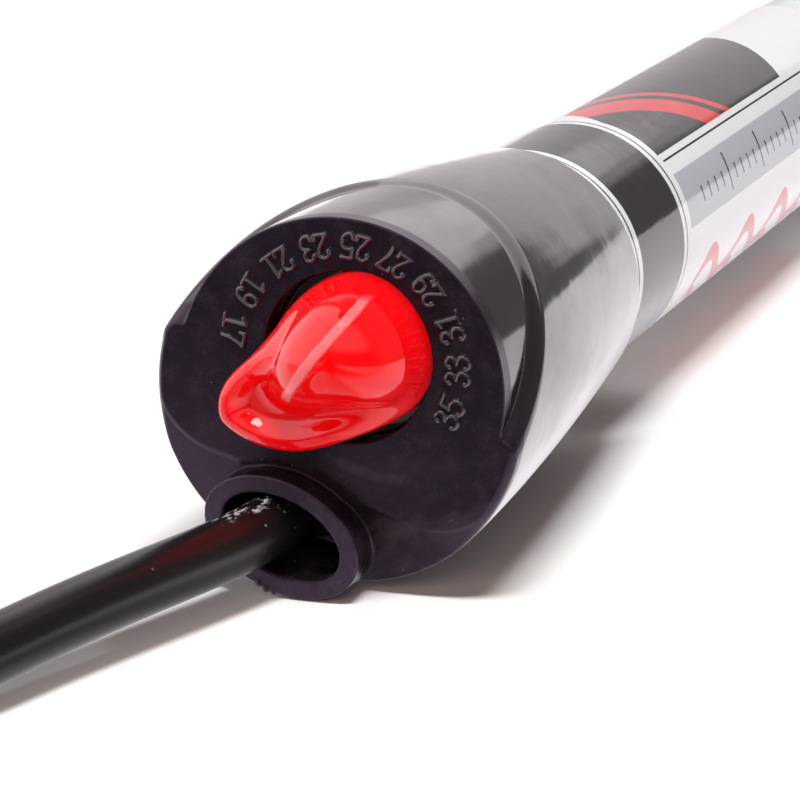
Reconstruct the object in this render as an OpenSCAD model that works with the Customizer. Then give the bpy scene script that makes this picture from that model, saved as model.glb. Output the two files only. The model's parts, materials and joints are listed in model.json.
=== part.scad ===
/* [Glass tube] */
// Outside diameter of the glass tube
tube_d = 26; // [24:0.5:28]
// Wall of the glass tube
glass_wall = 1.2; // [1:0.1:1.4]
// Length of the tube from the cap's face to its closed end
tube_reach = 337; // [330:1:420]
// Depth of the tube's open end below the cap's face
tube_start = 20; // [19:0.5:24]
// Rounding radius of the closed end
end_round = 10; // [7:0.5:10.5]

/* [Cap] */
// Largest diameter of the cap, at its face
cap_d = 36.4; // [35.4:0.2:39]
// Length of the cap along the tube
cap_len = 53; // [48:1:60]
// Diameter of the cap's collar at its rear edge
collar_d = 28.8; // [28.6:0.1:29.8]
// How late the barrel tapers, 1 is a straight cone
barrel_power = 1.5; // [1.2:0.1:2.5]
// Rounding of the face's lower edge
face_round = 1; // [0.5:0.1:1.5]
// Diameter of the raised drum that carries the scale
drum_d = 32.5; // [32:0.1:33]
// Height of the drum's centre above the cap's axis
drum_rise = 1.1; // [0.8:0.1:1.3]
// Draft of the drum's side, in degrees
drum_draft = 1; // [0.5:0.1:2]
// Height on the face where the oblique shoulder starts
shoulder_rise = 1.6; // [1:0.1:3]
// Slope of the shoulder, depth for each millimetre of height
shoulder_slope = 1.07; // [0.9:0.01:1.2]
// Depth of the wiring space's front wall
head_depth = 13; // [12:0.5:14]

/* [Dial] */
// Height of the dial's axis above the cap's axis
dial_rise = 4.15; // [3.8:0.05:4.4]
// Diameter of the dial's well
well_d = 16.4; // [16:0.1:16.8]
// Depth of the dial's well
well_depth = 3.6; // [3:0.1:4]
// Running gap between the dial and its well
well_gap = 0.3; // [0.25:0.05:0.5]
// Height of the dial's dome above the face
dome_height = 9; // [8:0.25:10]
// Direction of the dial's beak at its low stop, in degrees
beak_angle = 228; // [222:1:232]
// Distance from the dial's axis to the beak's round tip
beak_reach = 12.9; // [12:0.1:13.2]
// Radius of the beak's tip
beak_round = 4.6; // [4:0.1:5]
// Height of the beak's upper edge above the face
beak_height = 4.6; // [4:0.1:5]
// Gap between the beak and the face
beak_gap = 0.6; // [0.4:0.1:1]
// Diameter of the dial's shaft
shaft_d = 4; // [3.5:0.1:4.2]
// Running clearance round the shaft
shaft_clearance = 0.05; // [0.04:0.01:0.08]
// Diameter of the adjusting screw
screw_d = 4; // [3.6:0.1:4.2]
// Gap between the screw's tip and the pressure arm
screw_gap = 0.8; // [0.7:0.05:1.2]

/* [Cable gland] */
// Height of the gland's collar above the face
boss_height = 3.3; // [2.5:0.1:4]
// Distance of the gland's centre below the cap's axis
boss_drop = 13.74; // [13.4:0.02:13.9]
// Shift of the gland's centre to the side
boss_shift = -0.76; // [-0.9:0.02:-0.6]
// Length of the oval gland
boss_long = 16.06; // [15.8:0.02:16.4]
// Width of the oval gland
boss_wide = 10.7; // [10.6:0.02:11]
// Turn of the oval gland, in degrees
boss_turn = -7.4; // [-9:0.2:-6]
// Wall of the gland along its length
boss_wall_long = 1.9; // [1.8:0.1:2.1]
// Wall of the gland along its width
boss_wall_wide = 1.65; // [1.6:0.05:1.8]
// Depth of the oval opening below the face
gland_depth = 5; // [4:0.25:6]
// Wall of the seal round the cord
cord_seal_wall = 0.8; // [0.5:0.1:1]

/* [Thermostat] */
// Length of the thermostat's frame
frame_len = 98; // [94:1:104]
// Width of the thermostat's frame
frame_width = 16; // [15:0.2:16.2]
// Thickness of the frame's floor
frame_wall = 1.4; // [1.2:0.1:1.5]
// Distance of the frame's underside below the tube's axis
frame_drop = 8; // [7.8:0.05:8.1]
// Length of the bimetal strip
bimetal_len = 29; // [27:0.5:30]
// Thickness of the bimetal strip
bimetal_thick = 0.6; // [0.5:0.05:0.7]

/* [Heating element] */
// Diameter of the ceramic core
core_d = 16; // [15:0.2:16.4]
// Length of the ceramic core
core_len = 172; // [170:1:172]
// Diameter of the ceramic core's bore
core_bore_d = 4.4; // [4:0.1:5]
// Turns of the heating winding
winding_turns = 16; // [12:1:17]
// Bare length of the core at each end of the winding
winding_margin = 6; // [5:0.5:10]
// Diameter of the coiled heating wire
winding_wire_d = 1.2; // [1:0.05:1.3]

/* [Label] */
// Length of the printed sleeve on the tube
label_len = 118; // [100:1:150]
// Thickness of the printed sleeve
label_thick = 0.2; // [0.16:0.02:0.3]
// Gap between the cap's rear edge and the sleeve
label_gap = 1.2; // [0.8:0.1:3]

/* [Cord] */
// Diameter of the mains cord
cord_d = 6; // [5:0.1:6.2]
// Gap between the hank's loops, sideways and up
hank_gap = 0.8; // [0.7:0.05:0.9]
// Radius of the hank's tightest fold
hank_fold = 18; // [18:0.25:19]
// Length of the hank's straight runs
hank_run = 64; // [60:1:66]
// How far each run is drawn in at the waist
hank_waist = 3; // [2:0.25:3.5]
// Width of the hank's tie
tie_width = 8; // [6:0.5:10]
// Thickness of the hank's tie
tie_thick = 0.6; // [0.4:0.1:0.7]

/* [Plug] */
// Width of the flat two-pin plug
plug_width = 35.3; // [34:0.1:36]
// Thickness of the plug
plug_thick = 13.7; // [13.3:0.1:14.1]
// Length of the plug's body
plug_len = 36; // [34:0.5:40]
// Diameter of the plug's pins
pin_d = 4; // [3.9:0.05:4.1]
// Length of the plug's pins
pin_len = 19; // [18:0.5:20]
// Distance between the pins' axes
pin_spacing = 18.6; // [18:0.1:19.2]
// Length of the strain relief
relief_len = 30; // [25:1:40]

/* [Hidden] */
$fn = 64;
eps = 0.01;

// Fits
seat = 0.05;
slack = 0.3;

// Main radii
tube_r = tube_d / 2;
bore_r = tube_r - glass_wall;
cap_r = cap_d / 2;
collar_r = collar_d / 2;
drum_r = drum_d / 2;
well_r = well_d / 2;
knob_r = well_r - well_gap;
shaft_r = shaft_d / 2;
screw_r = screw_d / 2;
cord_r = cord_d / 2;

// How the heater lies: the gland's collar and the tube's end both touch the surface
roll = 15.2;
collar_run = 6;
boss_reach = boss_centre_reach() + boss_support();
end_contact = tube_reach - end_round;
tilt = atan((boss_reach - tube_r) / (end_contact - collar_run));
axis_height = boss_reach * cos(tilt) + collar_run * sin(tilt);
face_y = -(tube_reach - dome_height) / 2;

function boss_centre_reach() = boss_shift * sin(roll) + boss_drop * cos(roll);
function boss_support() = sqrt(pow(boss_long / 2 * sin(roll - boss_turn), 2)
    + pow(boss_wide / 2 * cos(roll - boss_turn), 2));

// Where the cord passes the face, and its slope out of the head
cord_face = [-1.95, -13.05];
cord_lean = [-0.1923, -0.2];
cord_end_len = 11;

// Dial, its seals and its rib
shaft_socket = 4;
o_ring_r = 0.75;
o_ring_depths = [6.2, 9.8];
rib_width = 0.9;
rib_proud = 0.25;
scoop_r = 25;
scoop_depth = 2.4;
scoop_back = 0.7;

// Depths below the face, inside the cap and the tube
seal_thick = 2;
shoulder_depth = tube_start - seal_thick;
flange_r = tube_r - 1;
flange_thick = 1.5;
cavity_r = cap_r - 3.4;
carrier_thick = 8;
frame_start = tube_start + carrier_thick;
frame_end = frame_start + frame_len;
clip_depth = head_depth + slack;
clip_thick = 0.8;
shaft_end = frame_start + 8;
bracket_depth = shaft_end + 5;
bracket_thick = 1.5;
screw_tip = bracket_depth + bracket_thick + 6;
screw_head = shaft_end + 0.6;
screw_nose = 1.2;
blade_thick = 1;
blade_len = 2.6;
slot_depth = 3.5;
arm_start = screw_tip + screw_gap;
arm_thick = 0.5;
stack_depth = arm_start + bimetal_len + 4;
stack_len = 10;
shield_depth = frame_end;
shield_thick = 0.5;
shield_step = 6;
core_start = shield_depth + 2 * shield_step;
core_end = core_start + core_len;
winding_r = core_d / 2 + winding_wire_d / 2 + 0.1;
winding_start = core_start + winding_margin;
winding_end = core_end - winding_margin;
winding_pitch = (winding_end - winding_start) / winding_turns;

// Capacitor and lamp share what is left of the board behind the stack
lamp_r = 2.6;
lamp_len = 10;
lamp_tip = 1.2;
capacitor_len = 12;
board_gap = (frame_end - stack_depth - stack_len - capacitor_len - lamp_len - lamp_tip) / 3;
capacitor_depth = stack_depth + stack_len + board_gap;
lamp_depth = capacitor_depth + capacitor_len + board_gap;
wire_r = 1;
wire_x = 5.6;
wire_y = -4;
sleeve_len = 10;
sleeve_wall = 0.5;

// Heights across the thermostat, measured up from the tube's axis
floor_top = frame_wall - frame_drop;
bimetal_under = floor_top + 3.1;
bimetal_top = bimetal_under + bimetal_thick;
insulator_thick = 2.9;
arm_under = bimetal_top + insulator_thick;
arm_top = arm_under + arm_thick;
contact_r = 1.5;
contact_gap = 0.1;
contact_thick = (insulator_thick - contact_gap) / 2;
strip_width = 6;
contact_depth = arm_start + 7;
rivet_r = 0.9;
rivet_depths = [stack_depth + 2.8, stack_depth + 7.2];
pivot_gap = 0.2;

// Winding's clamps, which hold the wire's straight ends
clamp_size = 3;
clamp_in = core_d / 2 + 0.1;
clamp_out = clamp_in + 2;
clamp_mid = (clamp_in + clamp_out) / 2;
clamp_mid_y = winding_wire_d + clamp_size / 2;
ring_thick = 0.6;
rod_r = 0.7;

// The cord's route from the gland to the hank, as points along its middle
route = [
    [-4.17, -159.26, 7.6], [-5.37, -164.26, 6.95], [-6.2, -167.6, 6.5], [-7.15, -170.9, 6.25],
    [-8.75, -175.45, 6], [-11.2, -182.55, 5.8], [-13.2, -188.35, 5.6], [-15.3, -194.65, 5.3],
    [-17.1, -200.65, 5], [-19.05, -207.15, 4.65], [-21.05, -213.65, 4.3], [-23.1, -220.15, 4],
    [-25.2, -226.65, 3.85], [-27.1, -233.15, 3.8], [-28.75, -239.65, 3.8], [-30.1, -246.15, 3.8],
    [-31.05, -252.65, 3.8], [-31.6, -259.15, 3.8], [-31.8, -265.65, 3.8], [-31.8, -272, 3.8],
    [-31.8, -278, 3.8]
];
loop_steps = 24;
tube_sides = 6;
cord_sides = 10;

// The hank: loops in four layers, which spiral in and out again from its left run
hank_layers = 4;
hank_turns = hank_layers - 0.5;
hank_base = 3.8;
hank_pitch = cord_d + hank_gap;
hank_outer = hank_fold + hank_pitch;
hank_first = route[len(route) - 1];
hank_x = hank_first[0] + hank_outer;
hank_top = hank_first[1] - cord_d;
hank_low = hank_top - hank_run;
arc_steps = 8;
run_steps = 4;
half_run = run_steps / 2;
function from_even(turn) = abs(turn - 2 * round(turn / 2)) * loop_steps;
function in_share(turn) = min(1, max(0, (from_even(turn) - half_run) / (loop_steps - run_steps)));
function hank_radius(turn) = hank_outer - hank_pitch * in_share(turn);
function smooth(x) = let (t = min(1, max(0, x))) t * t * (3 - 2 * t);
function layer_at(turn) = smooth((turn - 1) * loop_steps / run_steps + 0.5)
    + smooth((turn - 2) * loop_steps / run_steps + 0.5) + smooth((turn - 3) * loop_steps / run_steps + 0.5);
// A point of a loop, counted in steps from the middle of the left run
function waist(share) = hank_waist * pow(sin(180 * share), 2);
function left_run(r, share) = [-r + waist(share), hank_top - hank_run * share];
function right_run(r, share) = [r - waist(share), hank_low + hank_run * share];
function low_arc(r, share) = [-r * cos(180 * share), hank_low - r * sin(180 * share)];
function top_arc(r, share) = [r * cos(180 * share), hank_top + r * sin(180 * share)];
function loop_point(r, step) = step < half_run ? left_run(r, 0.5 + step / run_steps)
    : step < half_run + arc_steps ? low_arc(r, (step - half_run) / arc_steps)
    : step < half_run + arc_steps + run_steps ? right_run(r, (step - half_run - arc_steps) / run_steps)
    : step < loop_steps - half_run ? top_arc(r, (step - half_run - arc_steps - run_steps) / arc_steps)
    : left_run(r, (step - loop_steps + half_run) / run_steps);
function hank_point(i) = let (
        turn = i / loop_steps,
        flat = loop_point(hank_radius(turn), i - loop_steps * floor(turn))
    ) [hank_x + flat[0], flat[1], hank_base + hank_pitch * layer_at(turn)];
hank_count = round(hank_turns * loop_steps);
hank_leave = hank_point(hank_count);
hank_last = hank_leave + [0, cord_d, 0];
hank_path = concat([hank_first], [for (i = [-half_run:hank_count]) hank_point(i)], [hank_last]);

// The tail folds back over the hank's end, up to the plug that lies on it
tail_fold = hank_fold + 0.25;
tail_out = 6.4;
tail_steps = 12;
tail_x = hank_last[0] + tail_out;
plug_rise = cord_r + plug_thick / 2 + 0.35;
tail_top = hank_top;
tail_straight = tail_top - hank_last[1];
tail_len = tail_straight + PI * tail_fold + cord_d;
function tail_z(along) = hank_last[2] + plug_rise * smooth(along / tail_len);
tail_path = concat(
    [for (i = [0:4]) let (along = tail_straight * i / 4) [
        hank_last[0] + tail_out * smooth(i / 4), hank_last[1] + along, tail_z(along)]],
    [for (i = [1:tail_steps]) let (a = 180 * i / tail_steps) [
        tail_x - tail_fold + tail_fold * cos(a), tail_top + tail_fold * sin(a),
        tail_z(tail_straight + PI * tail_fold * i / tail_steps)]],
    [[tail_x - 2 * tail_fold, tail_top - cord_d, tail_z(tail_len)]]
);
plug_at = tail_path[len(tail_path) - 1];

// Positions along the heating winding, measured down from the face
winding_count = winding_turns * loop_steps;
function winding_point(i) = let (turn = i / loop_steps) [
    winding_r * cos(360 * turn), winding_r * sin(360 * turn), -winding_start - winding_pitch * turn];
winding_path = concat(
    [[winding_r, -winding_wire_d, -winding_start]],
    [for (i = [0:winding_count]) winding_point(i)],
    [[winding_r, winding_wire_d, -winding_end]]
);

// Least gap of a wound tube to itself, between points at least half a turn apart
function least_gap(path, apart, diameter) = min([
    for (i = [0:len(path) - 1]) for (j = [i + apart:1:len(path) - 1]) norm(path[i] - path[j])]) - diameter;
echo(hank_least_gap = least_gap(hank_path, loop_steps / 2, cord_d));
echo(winding_least_gap = least_gap(winding_path, loop_steps / 2, winding_wire_d));

// Tubes swept along a path, ring by ring
function unit(v) = v / norm(v);
function tangent(path, i) = unit(path[min(i + 1, len(path) - 1)] - path[max(i - 1, 0)]);
function ring(path, i, radius, sides) = let (
        t = tangent(path, i),
        side = unit(cross(t, [0, 0, 1])),
        up = cross(side, t)
    ) [for (k = [0:sides - 1]) path[i] + radius * (cos(k * 360 / sides + 90) * side
        + sin(k * 360 / sides + 90) * up)];

module swept_tube(path, radius, sides) {
    rings = len(path);
    points = [for (i = [0:rings - 1]) each ring(path, i, radius, sides)];
    walls = [for (i = [0:rings - 2]) for (k = [0:sides - 1]) let (
            a = i * sides + k,
            b = i * sides + (k + 1) % sides
        ) each [[a, a + sides, b], [b, a + sides, b + sides]]];
    start = [for (k = [1:sides - 2]) [0, k, k + 1]];
    last = (rings - 1) * sides;
    stop = [for (k = [1:sides - 2]) [last, last + k + 1, last + k]];
    polyhedron(points = points, faces = concat(walls, start, stop));
}

// Puts the heater, drawn with its face at z = 0 and the tube below, on the surface
module lying() {
    translate([0, face_y, axis_height])
        rotate([-tilt, 0, 0])
            rotate([0, roll, 0])
                rotate([90, 0, 0])
                    children();
}

// A point at a depth below the face
module down(depth) {
    translate([0, 0, -depth])
        children();
}

module rod(depth, length, radius) {
    translate([0, 0, -depth - length])
        cylinder(h = length, r = radius);
}

module ring_plate(depth, thickness, outer, inner) {
    down(depth + thickness)
        difference() {
            cylinder(h = thickness, r = outer);
            translate([0, 0, -eps])
                cylinder(h = thickness + 2 * eps, r = inner);
        }
}

function oval(long, wide) = [for (i = [0:47]) [long / 2 * cos(i * 7.5), wide / 2 * sin(i * 7.5)]];

module oval_prism(long, wide, top, bottom) {
    translate([boss_shift, -boss_drop, -bottom])
        rotate([0, 0, boss_turn])
            linear_extrude(height = top + bottom)
                polygon(oval(long, wide));
}

// Outer radius of the barrel at a depth below the face
function barrel_r(depth) = collar_r + (cap_r - collar_r) * (1 - pow(depth / cap_len, barrel_power));

module barrel() {
    steps = 16;
    edge = [for (i = [0:3]) let (a = 90 - 30 * i) [
        barrel_r(face_round) - face_round + face_round * cos(a), -face_round + face_round * sin(a)]];
    side = [for (i = [1:steps]) let (d = face_round + (cap_len - face_round) * i / steps) [barrel_r(d), -d]];
    rotate_extrude($fn = 96)
        polygon(concat([[0, 0]], edge, side, [[0, -cap_len]]));
}

module drum() {
    run = 24;
    translate([0, drum_rise, -run])
        cylinder(h = run, r1 = drum_r + run * tan(drum_draft), r2 = drum_r, $fn = 96);
}

// Everything in front of the oblique shoulder
module shoulder_cut() {
    high = cap_r + 4;
    translate([-high, 0, 0])
        rotate([90, 0, 90])
            linear_extrude(height = 2 * high)
                polygon([
                    [shoulder_rise, 0], [high, -(high - shoulder_rise) * shoulder_slope],
                    [high, 1], [shoulder_rise, 1]
                ]);
}

module cap() {
    groove_r = shaft_r + 1.6;
    color("#2a2630")
        lying()
            difference() {
                union() {
                    difference() {
                        barrel();
                        difference() {
                            shoulder_cut();
                            drum();
                        }
                    }
                    oval_prism(boss_long, boss_wide, boss_height, collar_run);
                }
                // Well and shaft bore of the dial
                translate([0, dial_rise, 0]) {
                    rod(-eps, well_depth + eps, well_r);
                    rod(0, head_depth + eps, shaft_r + shaft_clearance);
                    for (depth = o_ring_depths)
                        rod(depth - o_ring_r - seat, 2 * (o_ring_r + seat), groove_r);
                }
                // Gland
                gland_opening();
                along_cord(gland_depth - cord_r / 2)
                    cylinder(h = cord_r / 2 + eps, r = cord_r + 2 * seat);
                along_cord(gland_depth)
                    cylinder(h = head_depth - gland_depth + 4, r = cord_r + cord_seal_wall + seat);
                // Wiring space and its flange, then the sleeve that grips the glass
                rod(head_depth, shoulder_depth - flange_thick - head_depth, cavity_r);
                rod(head_depth, tube_start, flange_r);
                rod(shoulder_depth, cap_len, tube_r + seat);
            }
}

// The oval opening leans with the cord
module gland_opening() {
    hull()
        for (z = [boss_height + eps, -gland_depth])
            translate([
                boss_shift + cord_lean[0] * (z - boss_height),
                -boss_drop + cord_lean[1] * (z - boss_height),
                z
            ])
                rotate([0, 0, boss_turn])
                    linear_extrude(height = eps)
                        polygon(oval(boss_long - 2 * boss_wall_long, boss_wide - 2 * boss_wall_wide));
}

// Draws along the cord's line, away from the face, from a depth
module along_cord(depth) {
    translate([cord_face[0] - cord_lean[0] * depth, cord_face[1] - cord_lean[1] * depth, -depth])
        multmatrix(facing([-cord_lean[0], -cord_lean[1], -1]))
            children();
}

// Rotation that points +Z along a direction
function facing(v) = let (
        z = unit(v),
        x = unit(cross([0, 1, 0], z)),
        y = cross(z, x)
    ) [[x[0], y[0], z[0], 0], [x[1], y[1], z[1], 0], [x[2], y[2], z[2], 0], [0, 0, 0, 1]];

module dial_knob() {
    root_r = knob_r - 1.3;
    beak = [cos(beak_angle), sin(beak_angle)];
    tip = beak * (beak_reach - beak_round);
    color("red")
        lying()
            translate([0, dial_rise, 0])
                difference() {
                    union() {
                        rod(-beak_gap, well_depth - slack + beak_gap, knob_r);
                        translate([0, 0, beak_gap])
                            dome(knob_r, dome_height - beak_gap);
                        difference() {
                            beak_body(tip, root_r);
                            translate(concat(
                                beak * (beak_reach - scoop_back), [beak_height + scoop_r - scoop_depth]))
                                sphere(r = scoop_r, $fn = 96);
                        }
                        dome_rib();
                    }
                    rod(-shaft_socket, shaft_socket + well_depth, shaft_r + seat);
                }
}

module dome(radius, height) {
    steps = 12;
    rotate_extrude($fn = 64)
        polygon(concat([[0, 0]], [for (i = [0:steps]) let (a = 90 * i / steps)
            [radius * cos(a), height * sin(a)]]));
}

// The beak: a round tip joined to the dome's root by straight sides
module beak_body(tip, root_r) {
    steps = 24;
    lean = asin((root_r - beak_round) / norm(tip));
    from = beak_angle - 90 + lean;
    sweep = 180 - 2 * lean;
    tip_arc = [for (i = [0:steps]) let (a = from + sweep * i / steps) tip + beak_round * [cos(a), sin(a)]];
    root = [for (a = [from + sweep, from]) root_r * [cos(a), sin(a)]];
    translate([0, 0, beak_gap])
        linear_extrude(height = beak_height - beak_gap)
            polygon(concat(tip_arc, root));
}

// A slim raised line over the dome, from the back to the beak
module dome_rib() {
    rotate([0, 0, beak_angle + 22])
        intersection() {
            translate([0, -rib_width / 2 - 0.9, beak_gap])
                translate([-knob_r, 0, 0])
                    cube([1.55 * knob_r, rib_width, dome_height + 1]);
            translate([0, 0, beak_gap])
                dome(knob_r - 0.05, dome_height - beak_gap + rib_proud);
        }
}

module dial_shaft() {
    color("silver")
        lying()
            translate([0, dial_rise, 0])
                difference() {
                    rod(-shaft_socket + slack, shaft_end + shaft_socket - slack, shaft_r);
                    // Groove of the clip
                    ring_plate(clip_depth - seat, clip_thick + 2 * seat, shaft_r + 1, shaft_r - 0.5);
                    // Slot that drives the screw
                    translate([-shaft_r - 1, -blade_thick / 2 - seat, -shaft_end - eps])
                        cube([2 * shaft_r + 2, blade_thick + 2 * seat, slot_depth + eps]);
                }
}

module shaft_o_rings() {
    color("#1c1c1e")
        lying()
            translate([0, dial_rise, 0])
                for (depth = o_ring_depths)
                    down(depth)
                        rotate_extrude()
                            translate([shaft_r + shaft_clearance + o_ring_r, 0])
                                circle(r = o_ring_r, $fn = 24);
}

module shaft_clip() {
    color("gray")
        lying()
            translate([0, dial_rise, 0])
                difference() {
                    ring_plate(clip_depth, clip_thick, shaft_r + 1.8, shaft_r - 0.5 + seat);
                    translate([-0.9, 0, -clip_depth - 2 * clip_thick])
                        cube([1.8, shaft_r + 3, 3 * clip_thick]);
                }
}

module adjusting_screw() {
    color("#c9a45a")
        lying()
            translate([0, dial_rise, 0])
                intersection() {
                    union() {
                        rod(screw_head, screw_tip - screw_nose - screw_head, screw_r);
                        translate([-screw_r, -blade_thick / 2, -screw_head - 1])
                            cube([2 * screw_r, blade_thick, blade_len + 1]);
                        down(screw_tip)
                            cylinder(h = screw_nose + eps, r1 = 0.8, r2 = screw_r - 0.2);
                    }
                    rod(0, screw_tip, screw_r);
                }
}

module cord_seal() {
    length = head_depth - gland_depth;
    color("#1c1c1e")
        lying()
            along_cord(gland_depth + seat)
                difference() {
                    cylinder(h = length, r = cord_r + cord_seal_wall);
                    translate([0, 0, -1])
                        cylinder(h = length + 2, r = cord_r + seat);
                }
}

// The cord's own end, past the seal and the clamp
module cord_end() {
    color("#1d1b1c")
        lying()
            along_cord(gland_depth + seat)
                cylinder(h = cord_end_len, r = cord_r);
}

module cord_clamp() {
    thick = 1.1;
    color("#d8d4c8")
        lying()
            along_cord(head_depth + 1.2)
                difference() {
                    cylinder(h = thick, r = cord_r + 1);
                    translate([0, 0, -1])
                        cylinder(h = thick + 2, r = cord_r + seat);
                }
}

module tube_seal() {
    color("#3a3a3c")
        lying()
            ring_plate(shoulder_depth, seal_thick, tube_r, bore_r - 1.2);
}

module carrier_disc() {
    color("#e6e2d6")
        lying()
            difference() {
                rod(tube_start, carrier_thick, bore_r - seat);
                translate([0, dial_rise, 0])
                    rod(0, frame_start + 1, shaft_r + 0.1);
                for (side = [-1, 1])
                    translate([side * wire_x, wire_y, 0])
                        rod(0, frame_start + 1, wire_r + seat);
            }
}

module round_end(radius, rounding, reach) {
    steps = 10;
    arc = [for (i = [0:steps]) let (a = 90 * i / steps)
        [radius - rounding + rounding * cos(a), -reach + rounding - rounding * sin(a)]];
    rotate_extrude($fn = 96)
        polygon(concat([[0, -tube_start], [radius, -tube_start]], arc, [[0, -reach]]));
}

module glass_tube() {
    color("#dfe8ea", 0.35)
        lying()
            difference() {
                round_end(tube_r, end_round, tube_reach);
                translate([0, 0, eps])
                    round_end(bore_r, end_round - glass_wall, tube_reach - glass_wall);
            }
}

module label_sleeve() {
    color("white")
        lying()
            ring_plate(cap_len + label_gap, label_len, tube_r + 0.02 + label_thick, tube_r + 0.02);
}

module thermostat_frame() {
    post_high = bimetal_under - floor_top;
    color("#a5672f")
        lying()
            down(frame_end) {
                translate([-frame_width / 2, -frame_drop, 0])
                    cube([frame_width, frame_wall, frame_len]);
                // Post that carries the bimetal strip
                translate([-strip_width / 2 - 1, floor_top - eps, frame_end - stack_depth - stack_len])
                    cube([strip_width + 2, post_high + eps, stack_len]);
                // Side cheeks
                for (side = [-1, 1])
                    translate([side * (frame_width / 2 - 0.6) - 0.6, floor_top - eps, 0])
                        cube([1.2, 2.4, frame_len]);
            }
}

module screw_bracket() {
    width = 9;
    color("silver")
        lying()
            difference() {
                down(bracket_depth + bracket_thick)
                    union() {
                        translate([-width / 2, floor_top, 0])
                            cube([width, dial_rise + 4 - floor_top, bracket_thick]);
                        translate([-width / 2, floor_top, 0])
                            cube([width, 1, 8]);
                    }
                translate([0, dial_rise, 0])
                    rod(bracket_depth - 1, bracket_thick + 2, screw_r + shaft_clearance);
            }
}

// Flat strip along the tube, from one depth to another
module strip(from, to, under, thickness, width) {
    translate([-width / 2, under, -to])
        cube([width, thickness, to - from]);
}

module stack_strip(under, thickness) {
    difference() {
        strip(stack_depth, stack_depth + stack_len, under, thickness, strip_width);
        rivet_holes(under, thickness);
    }
}

module rivet_holes(under, thickness) {
    for (at = rivet_depths)
        translate([0, under - 1, -at])
            rotate([-90, 0, 0])
                cylinder(h = thickness + 2, r = rivet_r + seat);
}

module anchor_tab() {
    color("silver")
        lying()
            stack_strip(bimetal_under, bimetal_thick);
}

module bimetal_strip() {
    color("#b9a88c")
        lying()
            strip(stack_depth - pivot_gap - bimetal_len, stack_depth - pivot_gap, bimetal_under,
                bimetal_thick, strip_width);
}

module contact(from_under) {
    translate([0, from_under, -contact_depth])
        rotate([-90, 0, 0])
            cylinder(h = contact_thick, r = contact_r);
}

module moving_contact() {
    color("#e8e8e8")
        lying()
            contact(bimetal_top);
}

module insulator_block() {
    color("#a5672f")
        lying()
            stack_strip(bimetal_top, insulator_thick);
}

module pressure_arm() {
    foot_high = dial_rise + 2.5;
    color("#c9a45a")
        lying()
            union() {
                stack_strip(arm_under, arm_thick);
                strip(arm_start, stack_depth + eps, arm_under, arm_thick, strip_width);
                translate([-strip_width / 2, arm_under, -arm_start - arm_thick])
                    cube([strip_width, foot_high - arm_under, arm_thick]);
            }
}

module fixed_contact() {
    color("#e8e8e8")
        lying()
            contact(arm_under - contact_thick);
}

module stack_rivets() {
    post_top = bimetal_under;
    head_r = 1.5;
    color("silver")
        lying()
            for (at = rivet_depths)
                translate([0, post_top, -at])
                    rotate([-90, 0, 0]) {
                        cylinder(h = arm_top - post_top, r = rivet_r);
                        translate([0, 0, arm_top - post_top])
                            cylinder(h = 0.6, r1 = head_r, r2 = head_r * 0.7);
                    }
}

module magnet() {
    high = 1.6;
    color("#3c3c40")
        lying()
            translate([-2.5, floor_top, -arm_start - 5])
                cube([5, high, 4]);
}

module capacitor() {
    color("#2f6fae")
        lying()
            translate([-4, floor_top, -capacitor_depth - capacitor_len])
                cube([8, 5, capacitor_len]);
}

module neon_lamp() {
    color("#e07a4a", 0.6)
        lying()
            translate([-1.5, floor_top + lamp_r + seat, 0]) {
                rod(lamp_depth, lamp_len, lamp_r);
                down(lamp_depth + lamp_len)
                    mirror([0, 0, 1])
                        cylinder(h = lamp_tip, r1 = lamp_r * 0.7, r2 = lamp_r * 0.2);
            }
}

module resistor() {
    color("#c8b487")
        lying()
            translate([3.5, floor_top + 1.1 + seat, 0])
                rod(lamp_depth + 2, 6, 1.1);
}

// Insulated conductor through straight runs with round corners
module wire(points, radius) {
    for (i = [0:len(points) - 2]) {
        run = points[i + 1] - points[i];
        translate(points[i])
            rotate([0, acos(run[2] / norm(run)), atan2(run[1], run[0])])
                cylinder(h = norm(run), r = radius, $fn = 24);
    }
    for (i = [1:1:len(points) - 2])
        translate(points[i])
            sphere(r = radius + 0.02, $fn = 24);
}

module conductor(side, lands_at) {
    depth = gland_depth + cord_end_len + wire_r + 2 * seat;
    spread = wire_r + 0.3;
    wire([
        [cord_face[0] - cord_lean[0] * depth + side * spread, cord_face[1] - cord_lean[1] * depth, -depth],
        [side * wire_x, wire_y, -tube_start + wire_r],
        [side * wire_x, wire_y, -lands_at]
    ], wire_r);
}

module live_wire() {
    color("#7a4a22")
        lying()
            conductor(1, stack_depth + stack_len / 2);
}

module neutral_wire() {
    color("#2b5fb0")
        lying()
            conductor(-1, frame_end - 4);
}

module mica_discs() {
    color("#c8c0a8")
        lying()
            for (i = [0, 1])
                difference() {
                    rod(shield_depth + i * shield_step, shield_thick, bore_r - slack);
                    rod_holes(shield_depth, 2 * shield_step);
                }
}

module rod_holes(depth, length) {
    rod(depth - 1, length + 2, rod_r + seat);
    translate([clamp_mid, -clamp_mid_y, 0])
        rod(depth - 1, length + 2, rod_r + seat);
}

module support_rings() {
    color("#c8c0a8")
        lying()
            for (side = [-1, 1]) {
                depth = side < 0 ? core_start + 1 : core_end - 1 - ring_thick;
                difference() {
                    ring_plate(depth, ring_thick, bore_r - slack, core_d / 2 + seat);
                    translate([clamp_mid, side * clamp_mid_y, 0])
                        rod(depth - 1, ring_thick + 2, rod_r + seat);
                }
            }
}

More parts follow.
